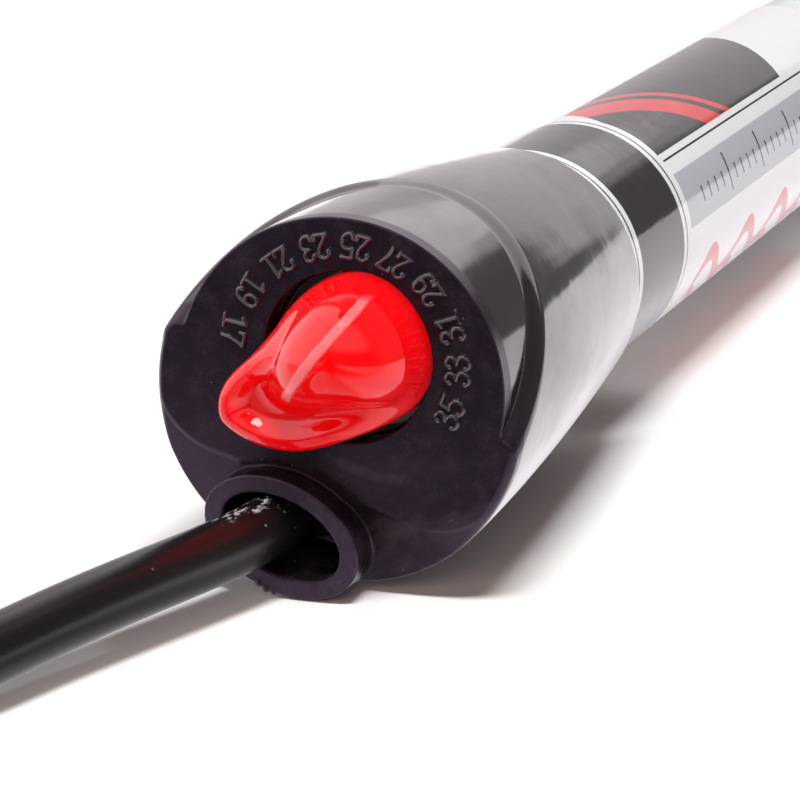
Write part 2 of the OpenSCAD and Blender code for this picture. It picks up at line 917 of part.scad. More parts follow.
module ceramic_core() {
    flutes = 8;
    flute_r = 1.4;
    color("#efe9dc")
        lying()
            difference() {
                rod(core_start, core_len, core_d / 2);
                rod(core_start - 1, core_len + 2, core_bore_d / 2);
                for (i = [0:flutes - 1])
                    rotate([0, 0, (i + 0.5) * 360 / flutes])
                        translate([core_d / 2 + 0.2, 0, 0])
                            rod(core_start - 1, core_len + 2, flute_r);
            }
}

module heating_winding() {
    color("#8a8580")
        lying()
            swept_tube(winding_path, winding_wire_d / 2, tube_sides);
}

module winding_clamps() {
    color("#c9a45a")
        lying()
            for (end = [[-1, winding_start], [1, winding_end]])
                translate([
                    clamp_in,
                    end[0] * (winding_wire_d + clamp_size / 2) - clamp_size / 2,
                    -end[1] - clamp_size / 2
                ])
                    cube([clamp_out - clamp_in, clamp_size, clamp_size]);
}

module feed_rod() {
    color("silver")
        lying()
            translate([clamp_mid, -clamp_mid_y, 0])
                rod(frame_end - 6, winding_start - clamp_size / 2 - frame_end + 6, rod_r);
}

module return_rod() {
    turn_depth = core_end + 3;
    color("silver")
        lying()
            wire([
                [0, 0, -(frame_end - 6)],
                [0, 0, -turn_depth],
                [clamp_mid, clamp_mid_y, -turn_depth],
                [clamp_mid, clamp_mid_y, -winding_end - clamp_size / 2]
            ], rod_r);
}

module cord() {
    color("#1d1b1c")
        swept_tube(route, cord_r, cord_sides);
}

module cord_hank() {
    color("#1d1b1c")
        swept_tube(hank_path, cord_r, tube_sides);
}

module cord_tail() {
    color("#1d1b1c")
        swept_tube(tail_path, cord_r, cord_sides);
}

// Flat strap round the hank's waist
module cord_tie() {
    spare = 0.6;
    half = hank_outer - hank_waist + cord_r + spare;
    top = hank_base + (hank_layers - 1) * hank_pitch + cord_r + slack;
    color("#1d1b1c")
        translate([hank_x, hank_low + hank_run / 2 + tie_width / 2, 0])
            rotate([90, 0, 0])
                linear_extrude(height = tie_width)
                    difference() {
                        strap_outline(-half - tie_thick, half + tie_thick, 0, top + tie_thick, 3);
                        strap_outline(-half, half, tie_thick, top, 3 - tie_thick);
                    }
}

module strap_outline(left, right, bottom, top, corner) {
    for (x = [left + corner, right - corner])
        for (y = [bottom + corner, top - corner])
            translate([x, y])
                circle(r = corner, $fn = 32);
    translate([left + corner, bottom])
        square([right - left - 2 * corner, top - bottom]);
    translate([left, bottom + corner])
        square([right - left, top - bottom - 2 * corner]);
}

// Draws from the tail's end towards -Y, with the plug's middle at height 0
module at_plug(along) {
    translate([plug_at[0], plug_at[1] - along, plug_at[2]])
        rotate([90, 0, 0])
            children();
}

module plug_body() {
    bevel = 5.5;
    rear_w = 17;
    rear_t = 11.5;
    color("#1d1b1c")
        at_plug(relief_len)
            hull() {
                for (slice = [[0, rear_w, rear_t, 3.5], [14, plug_width - 3, plug_thick, bevel],
                        [plug_len - 1, plug_width, plug_thick, bevel], [plug_len, plug_width - 1.6,
                        plug_thick - 1.6, bevel - 0.6]])
                    translate([0, 0, slice[0]])
                        linear_extrude(height = eps)
                            plug_section(slice[1], slice[2], slice[3]);
            }
}

module plug_section(width, thickness, corner) {
    x = width / 2;
    y = thickness / 2;
    polygon([
        [-x, 0], [-x + corner * 0.4, -y + 1.6], [-x + corner, -y],
        [x - corner, -y], [x - corner * 0.4, -y + 1.6], [x, 0],
        [x - corner * 0.4, y - 1.6], [x - corner, y], [-x + corner, y], [-x + corner * 0.4, y - 1.6]
    ]);
}

module plug_strain_relief() {
    slots = 5;
    ring_step = relief_len / (slots + 1);
    color("#1d1b1c")
        at_plug(0)
            difference() {
                cylinder(h = relief_len, r1 = cord_r + 0.6, r2 = cord_r + 2.2);
                for (i = [1:slots])
                    translate([0, 0, i * ring_step])
                        ring_gap(cord_r + 0.4);
            }
}

module ring_gap(inner) {
    difference() {
        cylinder(h = 1.4, r = cord_r + 4);
        translate([0, 0, -1])
            cylinder(h = 3.4, r = inner);
    }
}

module plug_pin_at(side) {
    at_plug(relief_len + plug_len + eps)
        translate([side * pin_spacing / 2, 0, 0])
            children();
}

module plug_pins() {
    tip = 1.2;
    core_r = pin_d / 2 - sleeve_wall - eps;
    color("silver")
        for (side = [-1, 1])
            plug_pin_at(side) {
                cylinder(h = sleeve_len, r = core_r);
                translate([0, 0, sleeve_len])
                    cylinder(h = pin_len - sleeve_len - tip, r = pin_d / 2);
                translate([0, 0, pin_len - tip])
                    cylinder(h = tip, r1 = pin_d / 2, r2 = pin_d / 2 - 0.9);
            }
}

module plug_pin_sleeves() {
    color("#1d1b1c")
        for (side = [-1, 1])
            plug_pin_at(side)
                difference() {
                    cylinder(h = sleeve_len, r = pin_d / 2 - 0.2);
                    translate([0, 0, -1])
                        cylinder(h = sleeve_len + 2, r = pin_d / 2 - sleeve_wall);
                }
}

cap();
dial_knob();
dial_shaft();
shaft_o_rings();
shaft_clip();
adjusting_screw();
cord_seal();
cord_end();
cord_clamp();
tube_seal();
carrier_disc();
glass_tube();
label_sleeve();
thermostat_frame();
screw_bracket();
anchor_tab();
bimetal_strip();
moving_contact();
insulator_block();
pressure_arm();
fixed_contact();
stack_rivets();
magnet();
capacitor();
neon_lamp();
resistor();
live_wire();
neutral_wire();
mica_discs();
support_rings();
ceramic_core();
heating_winding();
winding_clamps();
feed_rod();
return_rod();
cord();
cord_hank();
cord_tail();
cord_tie();
plug_body();
plug_strain_relief();
plug_pins();
plug_pin_sleeves();
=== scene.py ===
import json
import math

import bpy
import numpy as np
import openvdb
from mathutils import Matrix, Vector


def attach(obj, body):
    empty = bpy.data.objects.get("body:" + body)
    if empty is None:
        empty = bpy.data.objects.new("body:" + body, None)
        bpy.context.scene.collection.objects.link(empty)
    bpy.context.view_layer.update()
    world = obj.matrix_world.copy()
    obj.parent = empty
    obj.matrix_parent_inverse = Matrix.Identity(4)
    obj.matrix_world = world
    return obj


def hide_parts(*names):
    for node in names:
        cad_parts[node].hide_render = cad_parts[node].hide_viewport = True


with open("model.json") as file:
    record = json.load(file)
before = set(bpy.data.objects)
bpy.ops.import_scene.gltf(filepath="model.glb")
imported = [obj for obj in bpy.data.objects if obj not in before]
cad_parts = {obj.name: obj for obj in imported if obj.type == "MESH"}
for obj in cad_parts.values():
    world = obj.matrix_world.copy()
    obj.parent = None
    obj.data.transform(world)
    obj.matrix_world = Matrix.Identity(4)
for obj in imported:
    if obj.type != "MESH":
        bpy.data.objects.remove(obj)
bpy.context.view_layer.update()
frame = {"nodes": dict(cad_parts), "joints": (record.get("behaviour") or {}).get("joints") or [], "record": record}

MM = 0.001

# The heater's own axes, from the joints: across the face, up the face and out of it. Its origin
# is the middle of the face, so a depth below the face is -z.
JOINTS = {joint["name"]: joint for joint in frame["joints"]}
ACROSS = Vector(JOINTS["contact_arm_bend"]["axis"]).normalized()
OUT = -Vector(JOINTS["dial_turn"]["axis"]).normalized()
UP = OUT.cross(ACROSS).normalized()
DIAL_RISE = 4.15
FACE = Vector(JOINTS["dial_turn"]["pos_m"]) - DIAL_RISE * MM * UP
# To the row frame, in metres, from the heater's millimetres and from the row frame's own
TO_WORLD = np.array(Matrix.Translation(FACE) @ Matrix((ACROSS, UP, OUT)).transposed().to_4x4()
                    @ Matrix.Scale(MM, 4))
ROW = np.diag((MM, MM, MM, 1))

# Sizes in millimetres, as in the solids
CAP_R, COLLAR_R, CAP_LEN, BARREL_POWER = 18.2, 14.4, 53.0, 1.5
DRUM_R, DRUM_RISE, DRUM_DRAFT = 16.25, 1.1, math.tan(math.radians(1))
SHOULDER_RISE, SHOULDER_SLOPE = 1.6, 1.07
WELL_R, WELL_DEPTH = 8.2, 3.6
SHAFT_BORE, SHAFT_GUIDE = 2.06, 14
GLAND = (-0.76, -13.74)
GLAND_TURN = math.radians(-7.4)
GLAND_HIGH, GLAND_DEPTH = 3.3, 5.0
GLAND_OUTSIDE, GLAND_INSIDE = (8.03, 5.35), (6.13, 3.7)
CORD_FACE, CORD_LEAN = (-1.95, -13.05), (-0.1923, -0.2)
CORD_BORE, CORD_BORE_END = 3.86, 17
HEAD_START, HEAD_R, HEAD_END = 13, 14.8, 16.5
THROAT_R, THROAT_END = 12, 40
SEAT_R, SEAT_START = 13.06, 18
TUBE_R, GLASS_WALL, TUBE_START, TUBE_REACH, END_ROUND = 13.0, 1.2, 20.0, 337.0, 10.0
LABEL_START, LABEL_LEN = 54.2, 118.0
BEAK = math.radians(228)


def add_object(name, data):
    obj = bpy.data.objects.new(name, data)
    bpy.context.scene.collection.objects.link(obj)
    return obj


# ---- camera

def add_camera():
    """The photograph's view of the cap, from in front and a little above."""
    position = Vector((111.741, -457.228, 106.632)) * MM
    forward = Vector((-0.32557, 0.90627, -0.26960)).normalized()
    up = Vector((-0.08494, 0.25595, 0.96295))
    right = forward.cross(up).normalized()
    up = right.cross(forward)
    camera = add_object("camera", bpy.data.cameras.new("camera"))
    camera.matrix_world = (Matrix.Translation(position)
                           @ Matrix((right, up, -forward)).transposed().to_4x4())
    camera.data.lens = 157.5
    camera.data.sensor_width = 36
    camera.data.clip_start = 0.02
    camera.data.clip_end = 20
    bpy.context.scene.camera = camera


# ---- materials

def feed(tree, slot, value):
    """Links a value to a slot, or sets it there if it's a constant."""
    if isinstance(value, Node):
        value = value.socket
    if isinstance(value, bpy.types.NodeSocket):
        tree.links.new(value, slot)
    elif slot.type == "RGBA":
        slot.default_value = (*value, 1)
    else:
        slot.default_value = value


class Node:
    """A shader socket that takes part in arithmetic."""

    def __init__(self, tree, socket):
        self.tree, self.socket = tree, socket

    def math(self, operation, *others):
        node = self.tree.nodes.new("ShaderNodeMath")
        node.operation = operation
        for slot, value in zip(node.inputs, (self, *others)):
            feed(self.tree, slot, value)
        return Node(self.tree, node.outputs[0])

    def __add__(self, other):
        return self.math("ADD", other)

    def __sub__(self, other):
        return self.math("SUBTRACT", other)

    def __mul__(self, other):
        return self.math("MULTIPLY", other)

    def __truediv__(self, other):
        return self.math("DIVIDE", other)

    def most(self, other):
        return self.math("MAXIMUM", other)

    def size(self):
        return self.math("ABSOLUTE")

    def minus_from(self, value):
        """value less this."""
        return (self * -1.0) + value

    def ramp(self, low, high):
        """0 at low and 1 at high, smooth between them."""
        node = self.tree.nodes.new("ShaderNodeMapRange")
        node.interpolation_type = "SMOOTHSTEP"
        for name, value in (("Value", self), ("From Min", low), ("From Max", high)):
            feed(self.tree, node.inputs[name], value)
        return Node(self.tree, node.outputs["Result"])

    def between(self, low, high, soft):
        """1 between low and high, with soft edges."""
        past = self.ramp(high - soft, high + soft)
        return self.ramp(low - soft, low + soft) * past.minus_from(1.0)


class Paint:
    """A material with its own shader, and the helpers that build its graph."""

    def __init__(self, name, **sockets):
        self.material = bpy.data.materials.new(name)
        self.material.use_nodes = True
        self.tree = self.material.node_tree
        self.shader = self.tree.nodes["Principled BSDF"]
        for socket, value in sockets.items():
            self.set(socket.replace("_", " "), value)

    def set(self, socket, value):
        feed(self.tree, self.shader.inputs[socket], value)

    def colour(self, value):
        self.set("Base Color", value)

    def rough(self, value):
        self.set("Roughness", value)

    def new(self, kind, **inputs):
        node = self.tree.nodes.new("ShaderNode" + kind)
        for name, value in inputs.items():
            feed(self.tree, node.inputs[name], value)
        return node

    def kept(self, attribute, output):
        """What the mesh keeps with each vertex."""
        node = self.new("Attribute")
        node.attribute_name = attribute
        return node.outputs[output]

    def local(self):
        """The vertex's own place on the heater, in millimetres."""
        return self.kept("local", "Vector")

    def place(self):
        """The place in the object's own space, which is the row frame's."""
        return self.new("TexCoord").outputs["Object"]

    def split(self, vector):
        node = self.new("SeparateXYZ", Vector=vector)
        return [Node(self.tree, socket) for socket in node.outputs]

    def join(self, x, y, z):
        return self.new("CombineXYZ", X=x, Y=y, Z=z).outputs[0]

    def stretch(self, vector, scale):
        node = self.new("VectorMath")
        node.operation = "MULTIPLY"
        feed(self.tree, node.inputs[0], vector)
        feed(self.tree, node.inputs[1], scale)
        return node.outputs[0]

    def noise(self, vector, scale, detail=3.0, roughness=0.55):
        node = self.new("TexNoise", Vector=vector, Scale=scale, Detail=detail, Roughness=roughness)
        return Node(self.tree, node.outputs["Fac"])

    def dots(self, vector, scale):
        """Distance to the nearest of many scattered points."""
        node = self.new("TexVoronoi", Vector=vector, Scale=scale)
        return Node(self.tree, node.outputs["Distance"])

    def mix(self, share, first, second):
        node = self.new("Mix")
        node.data_type = "RGBA"
        feed(self.tree, node.inputs["Factor"], share)
        colours = [slot for slot in node.inputs if slot.type == "RGBA"]
        for slot, colour in zip(colours, (first, second)):
            feed(self.tree, slot, colour)
        return [slot for slot in node.outputs if slot.type == "RGBA"][0]

    def bump(self, height, strength, distance):
        node = self.new("Bump", Strength=strength, Distance=distance, Height=height)
        self.set("Normal", node.outputs["Normal"])


# ---- forms from fields

def unite(a, b, r):
    """Union of two fields with a fillet."""
    return (np.maximum(r, np.minimum(a, b))
            - np.hypot(np.maximum(r - a, 0), np.maximum(r - b, 0)))


def meet(a, b, r):
    """Intersection of two fields with a rounded edge."""
    return (np.minimum(-r, np.maximum(a, b))
            + np.hypot(np.maximum(r + a, 0), np.maximum(r + b, 0)))


def smooth(t):
    """0 below 0 and 1 above 1, smooth between them."""
    t = np.clip(t, 0, 1)
    return t * t * (3 - 2 * t)


def disc(x, y, radius):
    return np.hypot(x, y) - radius


def oval(x, y, long, wide):
    """About the distance to an ellipse with these half axes."""
    share = np.hypot(x / long, y / wide)
    return (share - 1) * share / (np.hypot(x / long ** 2, y / wide ** 2) + 1e-6)


def gradient(field, points, reach=0.004):
    """The field's slope at each point."""
    columns = []
    for step in np.eye(3) * reach:
        columns.append((field(*(points + step).T) - field(*(points - step).T)) / (2 * reach))
    return np.stack(columns, 1)


def shape_of(field, low, high, step, rounds=3):
    """Quads on the surface where the field is 0, inside a box, and the surface's normals.

    Each round draws the points onto the surface, by at most half a step."""
    axes = [np.arange(a, b + step, step, dtype=np.float32) for a, b in zip(low, high)]
    values = field(axes[0][:, None, None], axes[1][None, :, None], axes[2][None, None, :])
    volume = openvdb.FloatGrid(9.0)
    volume.copyFromArray(np.ascontiguousarray(values, dtype=np.float32))
    points, quads = volume.convertToQuads(0.0)
    points = np.array(points, float) * step + np.array(low)
    for _ in range(rounds):
        slope = gradient(field, points)
        move = (field(*points.T) / np.maximum((slope ** 2).sum(1), 0.05))[:, None] * slope
        far = np.linalg.norm(move, axis=1, keepdims=True)
        points -= move * np.minimum(1, 0.5 * step / np.maximum(far, 1e-9))
    slope = gradient(field, points)
    slope /= np.maximum(np.linalg.norm(slope, axis=1, keepdims=True), 1e-9)
    return points, np.array(quads), slope


def joined(parts):
    """Several shapes as one."""
    points, quads, slopes, count = [], [], [], 0
    for p, q, n in parts:
        points.append(p)
        quads.append(q + count)
        slopes.append(n)
        count += len(p)
    return np.concatenate(points), np.concatenate(quads), np.concatenate(slopes)


def add_mesh(name, points, faces, normals=None, matrix=TO_WORLD, extra=None):
    """A mesh object from local points, which it also keeps as an attribute."""
    world = points @ matrix[:3, :3].T + matrix[:3, 3]
    mesh = bpy.data.meshes.new(name)
    faces = np.asarray(faces)
    mesh.vertices.add(len(world))
    mesh.vertices.foreach_set("co", world.astype(np.float32).ravel())
    mesh.loops.add(faces.size)
    mesh.loops.foreach_set("vertex_index", faces.astype(np.int32).ravel())
    mesh.polygons.add(len(faces))
    starts = np.arange(0, faces.size, faces.shape[1], dtype=np.int32)
    mesh.polygons.foreach_set("loop_start", starts)
    mesh.update(calc_edges=True)
    mesh.validate()
    kept = mesh.attributes.new("local", "FLOAT_VECTOR", "POINT")
    kept.data.foreach_set("vector", points.astype(np.float32).ravel())
    for label, values in (extra or {}).items():
        kept = mesh.attributes.new(label, "FLOAT", "POINT")
        kept.data.foreach_set("value", values.astype(np.float32))
    mesh.polygons.foreach_set("use_smooth", np.ones(len(mesh.polygons), bool))
    if normals is not None:
        turned = normals @ matrix[:3, :3].T
        turned /= np.linalg.norm(turned, axis=1, keepdims=True)
        mesh.normals_split_custom_set_from_vertices(turned.tolist())
    return add_object(name, mesh)


def ring_quads(rings, around):
    """Quads between rings of points, each ring with the next."""
    at = np.arange(around)
    after = (at + 1) % around
    return np.concatenate([
        np.stack((i * around + at, i * around + after, (i + 1) * around + after,
                  (i + 1) * around + at), 1)
        for i in range(rings - 1)])


def sweep(line, radius, around):
    """Rings of points round a line, closed at both ends, and their quads."""
    line = np.array(line, float)
    ahead = np.gradient(line, axis=0)
    ahead /= np.linalg.norm(ahead, axis=1, keepdims=True)
    side = np.cross(ahead[0], (0.0, 0.0, 1.0))
    turns = np.arange(around) * 2 * math.pi / around
    rings = []
    for i, centre in enumerate(line):
        side = side - ahead[i] * (side @ ahead[i])
        side /= np.linalg.norm(side)
        wing = np.cross(ahead[i], side)
        ring = np.outer(np.cos(turns), side) + np.outer(np.sin(turns), wing)
        if i == 0:
            rings += [centre + ring * radius * share for share in (0.01, 0.98)]
        rings.append(centre + ring * radius)
    rings += [line[-1] + ring * radius * share for share in (0.98, 0.01)]
    return np.concatenate(rings), ring_quads(len(rings), around)


def catmull_rom(a, b, c, d, t):
    """A smooth curve's point between b and c, where a comes before them and d after."""
    return 0.5 * (2 * b + (c - a) * t + (2 * a - 5 * b + 4 * c - d) * t * t
                  + (3 * b - a - 3 * c + d) * t ** 3)


def curve_through(points, steps, closed=False):
    """Points on a smooth line through the given ones."""
    count = len(points)
    line = []
    for i in range(count if closed else count - 1):
        places = range(i - 1, i + 3)
        if closed:
            ends = [points[k % count] for k in places]
        else:
            ends = [points[min(max(k, 0), count - 1)] for k in places]
        line += [catmull_rom(*ends, k / steps) for k in range(steps)]
    return line if closed else line + [points[-1]]


def dress(obj, body, slot_name, paint, *nodes):
    """Puts a finished piece on its body, in place of the solids it stands for."""
    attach(obj, body)
    if nodes:
        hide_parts(*nodes)
    obj.data.materials.clear()
    obj.data.materials.append(paint.material)
    return obj


# ---- cap

# The face is flat inside this circle and above this line, which meet in a round corner
FLAT_R, FLAT_LOW, FLAT_CORNER = 17.4, -8.85, 3.5
# A torn nib of flash under the collar, as balls: x, y, z and radius
NIB = ((-0.85, -19.1, 3.05, 0.42), (-1.7, -18.85, 3.15, 0.36), (-0.1, -19.2, 2.9, 0.32))


def barrel_r(depth):
    """The barrel's radius, from its widest at the face to the collar's at the rear."""
    share = np.clip(depth / CAP_LEN, 0, 1.1)
    return COLLAR_R + (CAP_R - COLLAR_R) * (1 - share ** BARREL_POWER)


def gland_frame(x, y, z, leaning):
    """Coordinates along and across the gland's oval."""
    lean = (z - GLAND_HIGH) if leaning else 0
    u = x - GLAND[0] - CORD_LEAN[0] * lean
    v = y - GLAND[1] - CORD_LEAN[1] * lean
    c, s = math.cos(GLAND_TURN), math.sin(GLAND_TURN)
    return u * c + v * s, -u * s + v * c


def cord_bore(x, y, z, radius):
    """A round hole along the cord's own line."""
    u = x - CORD_FACE[0] - CORD_LEAN[0] * z
    v = y - CORD_FACE[1] - CORD_LEAN[1] * z
    return (np.hypot(u, v) - radius) * 0.96


def cap_field(x, y, z):
    depth = -z
    radial = np.hypot(x, y)
    barrel = (radial - barrel_r(depth)) * 0.99
    plane = (z + (y - SHOULDER_RISE) * SHOULDER_SLOPE) / math.hypot(1, SHOULDER_SLOPE)
    drum = disc(x, y - DRUM_RISE, DRUM_R + np.clip(depth, 0, 30) * DRUM_DRAFT)
    body = meet(barrel, unite(plane, drum, 0.3), 1.6)
    # Outside its flat part the face leans back a little, past a shallow crease
    fold = np.maximum(meet(radial - FLAT_R, FLAT_LOW - y, FLAT_CORNER), 0)
    fold = fold ** 2 / (fold + 0.4)
    low = smooth((1.2 - y) / 2) * smooth((y + 11) / 4)
    body = meet(body, z + 0.15 * fold + 0.14 * smooth(fold / 0.5), 0.22 + 0.5 * low)
    body = meet(body, depth - CAP_LEN, 0.8)
    u, v = gland_frame(x, y, z, False)
    collar = meet(oval(u, v, *GLAND_OUTSIDE), np.maximum(z - GLAND_HIGH, -6 - z), 0.16)
    body = unite(body, collar, 0.3)
    u, v = gland_frame(x, y, z, True)
    opening = np.maximum(oval(u, v, *GLAND_INSIDE) * 0.97, -GLAND_DEPTH - z)
    body = meet(body, -opening, 0.2)
    for nx, ny, nz, nr in NIB:
        body = unite(body, np.sqrt((x - nx) ** 2 + (y - ny) ** 2 + (z - nz) ** 2) - nr, 0.15)
    well = np.maximum(disc(x, y - DIAL_RISE, WELL_R), -WELL_DEPTH - z)
    body = meet(body, -well, 0.16)
    # The shaft's bore, the cord's, the wiring space, the throat behind it and the glass's seat
    for side, ends in (
            (disc(x, y - DIAL_RISE, SHAFT_BORE), depth - SHAFT_GUIDE),
            (cord_bore(x, y, z, CORD_BORE), np.maximum(z + 4, depth - CORD_BORE_END)),
            (radial - HEAD_R, np.maximum(HEAD_START - depth, depth - HEAD_END)),
            (radial - THROAT_R, np.maximum(HEAD_START - depth, depth - THROAT_END)),
            (radial - SEAT_R, SEAT_START - depth)):
        body = np.maximum(body, -np.maximum(side, ends))
    return body


def cap_paint():
    paint = Paint("cap_plastic", IOR=1.5, Coat_Roughness=0.06)
    local = paint.local()
    x, y, z = paint.split(local)
    face = z.ramp(-2.2, -1.7)
    sides = face.minus_from(1.0)
    dust = paint.noise(local, 0.35, 5.0, 0.7).ramp(0.42, 0.75)
    # Fine scratches that run down and to the left over the face
    turned = paint.join((x + y) * 0.71, (y - x) * 0.71, z)
    scratch = paint.noise(paint.stretch(turned, (0.25, 3.2, 1)), 3.0, 4.0, 0.75)
    # The scratched patch is strongest at the lower right of the face; there its lighter colour is partly haze and
    # partly a painted sheen.
    low = y.ramp(2, -9) * x.ramp(-6, 4)
    specks = paint.dots(local, 0.85).ramp(0.05, 0.025)
    specks = specks * paint.noise(local, 0.8, 2.0).ramp(0.5, 0.56)
    patch = paint.noise(paint.stretch(turned, (0.6, 1.5, 1)), 0.16, 3.0, 0.6).ramp(0.45, 0.65)
    dust_and_sheen = (dust * 0.3
             + (scratch.ramp(0.45, 0.75) * 0.6 + 0.4) * patch * (low * 0.9 + 0.1)) * face
    # A dried mark beside the gland
    curve = y + 5.9 + (x - 4) * (x - 4) * -0.03
    mark = curve.size().ramp(0.8, 0.1) * x.between(1.4, 8.6, 1.2)
    dust_and_sheen = dust_and_sheen * 0.62 + mark * face * (scratch.ramp(0.35, 0.7) * 0.5 + 0.15)
    dust_and_sheen_colour = paint.mix(dust_and_sheen, (0.0095, 0.0068, 0.011), (0.062, 0.05, 0.056))
    collar = z.ramp(2.6, 3.1) * paint.noise(local, 0.9, 4.0, 0.7).ramp(0.1, 0.6)
    dust_and_sheen_colour = paint.mix(collar * 0.75, dust_and_sheen_colour, (0.043, 0.034, 0.05))
    paint.colour(paint.mix(specks * 0.75, dust_and_sheen_colour, (0.5, 0.48, 0.5)))
    smear = paint.noise(paint.stretch(local, (1, 1, 0.4)), 0.12, 4.0, 0.6).ramp(0.35, 0.75)
    rough = face * (scratch * 0.16 + dust * 0.08 + 0.14) + sides * (smear * 0.08 + 0.075)
    paint.rough(rough + specks * 0.4)
    paint.set("Coat Weight", sides * (smear.minus_from(1.0) * 0.35 + 0.3))
    paint.set("Specular Tint", paint.mix(face, (1.0, 0.95, 1.0), (0.8, 0.58, 0.85)))
    # Grain, and the slow sink marks of a thick moulding
    sink = paint.noise(paint.stretch(local, (0.5, 1, 1)), 0.22, 2.0, 0.4)
    grain = scratch * 0.12 + paint.noise(local, 9.0, 2.0) * 0.08
    paint.bump(grain + smear * 0.3 + sink * 6.0, 0.1, 0.0001)
    return paint


def add_cap():
    shape = shape_of(cap_field, (-18.9, -20.1, -53.6), (18.9, 18.9, 3.9), 0.2)
    return dress(add_mesh("cap_moulding", *shape), "heater", "cap_plastic", cap_paint(), "cap")


# ---- scale numbers

def ring_points(cx, cy, rx, ry, count=14):
    turns = np.linspace(0, 2 * math.pi, count + 1)
    return [(cx + rx * math.cos(a), cy + ry * math.sin(a)) for a in turns]


# Each digit in a box one high: its smooth strokes, its straight ones and its round ends
DIGITS = {
    "1": ([], [[(0.12, 0.8), (0.33, 0.95), (0.33, 0.05)], [(0.1, 0.05), (0.56, 0.05)]], []),
    "2": ([[(0.12, 0.76), (0.2, 0.92), (0.36, 0.96), (0.52, 0.84), (0.5, 0.64), (0.3, 0.36),
            (0.1, 0.1)]],
          [[(0.1, 0.1), (0.56, 0.06), (0.6, 0.24)]], [(0.14, 0.74)]),
    "3": ([[(0.12, 0.82), (0.28, 0.96), (0.47, 0.88), (0.48, 0.66), (0.27, 0.53)],
           [(0.27, 0.53), (0.5, 0.46), (0.56, 0.26), (0.42, 0.06), (0.22, 0.04), (0.1, 0.16)]],
          [], [(0.13, 0.8), (0.12, 0.19)]),
    "5": ([[(0.12, 0.56), (0.32, 0.62), (0.53, 0.5), (0.55, 0.24), (0.38, 0.05), (0.2, 0.05),
            (0.1, 0.16)]],
          [[(0.56, 0.95), (0.17, 0.95), (0.12, 0.56)]], [(0.12, 0.18)]),
    "7": ([[(0.58, 0.94), (0.42, 0.62), (0.32, 0.32), (0.3, 0.05)]],
          [[(0.08, 0.76), (0.1, 0.94), (0.58, 0.94)]], []),
    "9": ([ring_points(0.32, 0.69, 0.2, 0.25),
           [(0.52, 0.7), (0.52, 0.42), (0.42, 0.14), (0.24, 0.04), (0.11, 0.13)]],
          [], [(0.13, 0.17)]),
}
DIGIT_HIGH, DIGIT_STEP = 2.5, 1.5
STROKE_R, END_R = 0.28, 0.36
# The first number's direction from the dial, the turn to the next, and each one's distance
SCALE_START, SCALE_TURN = 186, 21.55
SCALE_REACH = (11.25, 10.95, 10.75, 10.65, 10.6, 10.55, 10.75, 10.8, 10.9, 11.05)


def number_field(text):
    """A raised number with sloping sides, as a field about its own middle."""
    strokes, ends = [], []
    for place, digit in enumerate(text):
        left = (place - (len(text) - 1) / 2) * DIGIT_STEP - 0.33 * DIGIT_HIGH
        corner = np.array((left, -0.5 * DIGIT_HIGH))
        smooth_lines, straight_lines, balls = DIGITS[digit]
        lines = [curve_through([np.array(p) for p in line], 5) for line in smooth_lines]
        for line in lines + straight_lines:
            points = np.array(line) * DIGIT_HIGH + corner
            strokes += zip(points, points[1:])
        ends += [np.array(p) * DIGIT_HIGH + corner for p in balls]

    def field(s, t, z):
        best = np.full(np.broadcast(s, t).shape, 9.0)
        for a, b in strokes:
            run = b - a
            along = ((s - a[0]) * run[0] + (t - a[1]) * run[1]) / max(run @ run, 1e-9)
            along = np.clip(along, 0, 1)
            far = np.hypot(s - a[0] - along * run[0], t - a[1] - along * run[1])
            best = np.minimum(best, far - STROKE_R)
        for c in ends:
            best = np.minimum(best, np.hypot(s - c[0], t - c[1]) - END_R)
        return meet(best + 0.5 * np.clip(z, 0, 1), np.maximum(z - 0.36, -0.2 - z), 0.17)

    return field


def add_numbers():
    parts = []
    for i, reach in enumerate(SCALE_REACH):
        angle = math.radians(SCALE_START - SCALE_TURN * i)
        field = number_field(str(17 + 2 * i))
        points, quads, normals = shape_of(field, (-2.1, -1.6, -0.24), (2.1, 1.6, 0.46), 0.06, 2)
        # A digit's top points to the dial
        down = np.array((math.cos(angle), math.sin(angle), 0))
        turn = np.array(((-down[1], down[0], 0), -down, (0, 0, 1)))
        centre = np.array((0, DIAL_RISE, 0)) + reach * down
        parts.append((points @ turn + centre, quads, normals @ turn))
    numbers = add_mesh("scale_numbers", *joined(parts))
    return dress(numbers, "heater", "cap_plastic", numbers_paint())


def numbers_paint():
    paint = Paint("raised_numbers", IOR=1.5, Coat_Weight=1.0, Coat_Roughness=0.05, Coat_IOR=1.7)
    local = paint.local()
    rub = paint.noise(local, 6.0, 2.0).ramp(0.35, 0.7) * paint.split(local)[2].ramp(0.24, 0.32)
    paint.colour(paint.mix(rub * 0.3, (0.0105, 0.0078, 0.0155), (0.06, 0.055, 0.066)))
    paint.rough(rub * 0.1 + 0.07)
    paint.bump(paint.noise(local, 3.0, 3.0), 0.25, 0.0001)
    return paint


# ---- dial knob

# The brim's outline, along and across the beak
BRIM = [
    (12.72, -1.0), (12.3, 0.5), (11.45, 1.95), (10.4, 3.2), (9.05, 4.35), (7.3, 5.35), (5.4, 6.0),
    (3.6, 6.42), (1.9, 6.8), (0.3, 7.1), (-1.2, 7.25), (-2.8, 7.2), (-4.15, 6.75), (-5.5, 5.65),
    (-6.8, 4.0), (-7.65, 2.0), (-7.9, 0), (-7.65, -2.1), (-6.95, -3.9), (-5.9, -5.2),
    (-4.6, -6.05), (-3.05, -6.5), (-1.4, -6.62), (0.1, -6.4), (1.5, -5.9), (2.9, -5.25),
    (4.4, -4.95), (6.1, -4.75), (7.9, -4.45), (9.5, -4.1), (10.9, -3.5), (12.1, -2.45),
]
BRIM_MIDDLE = (2.2, 0.2)
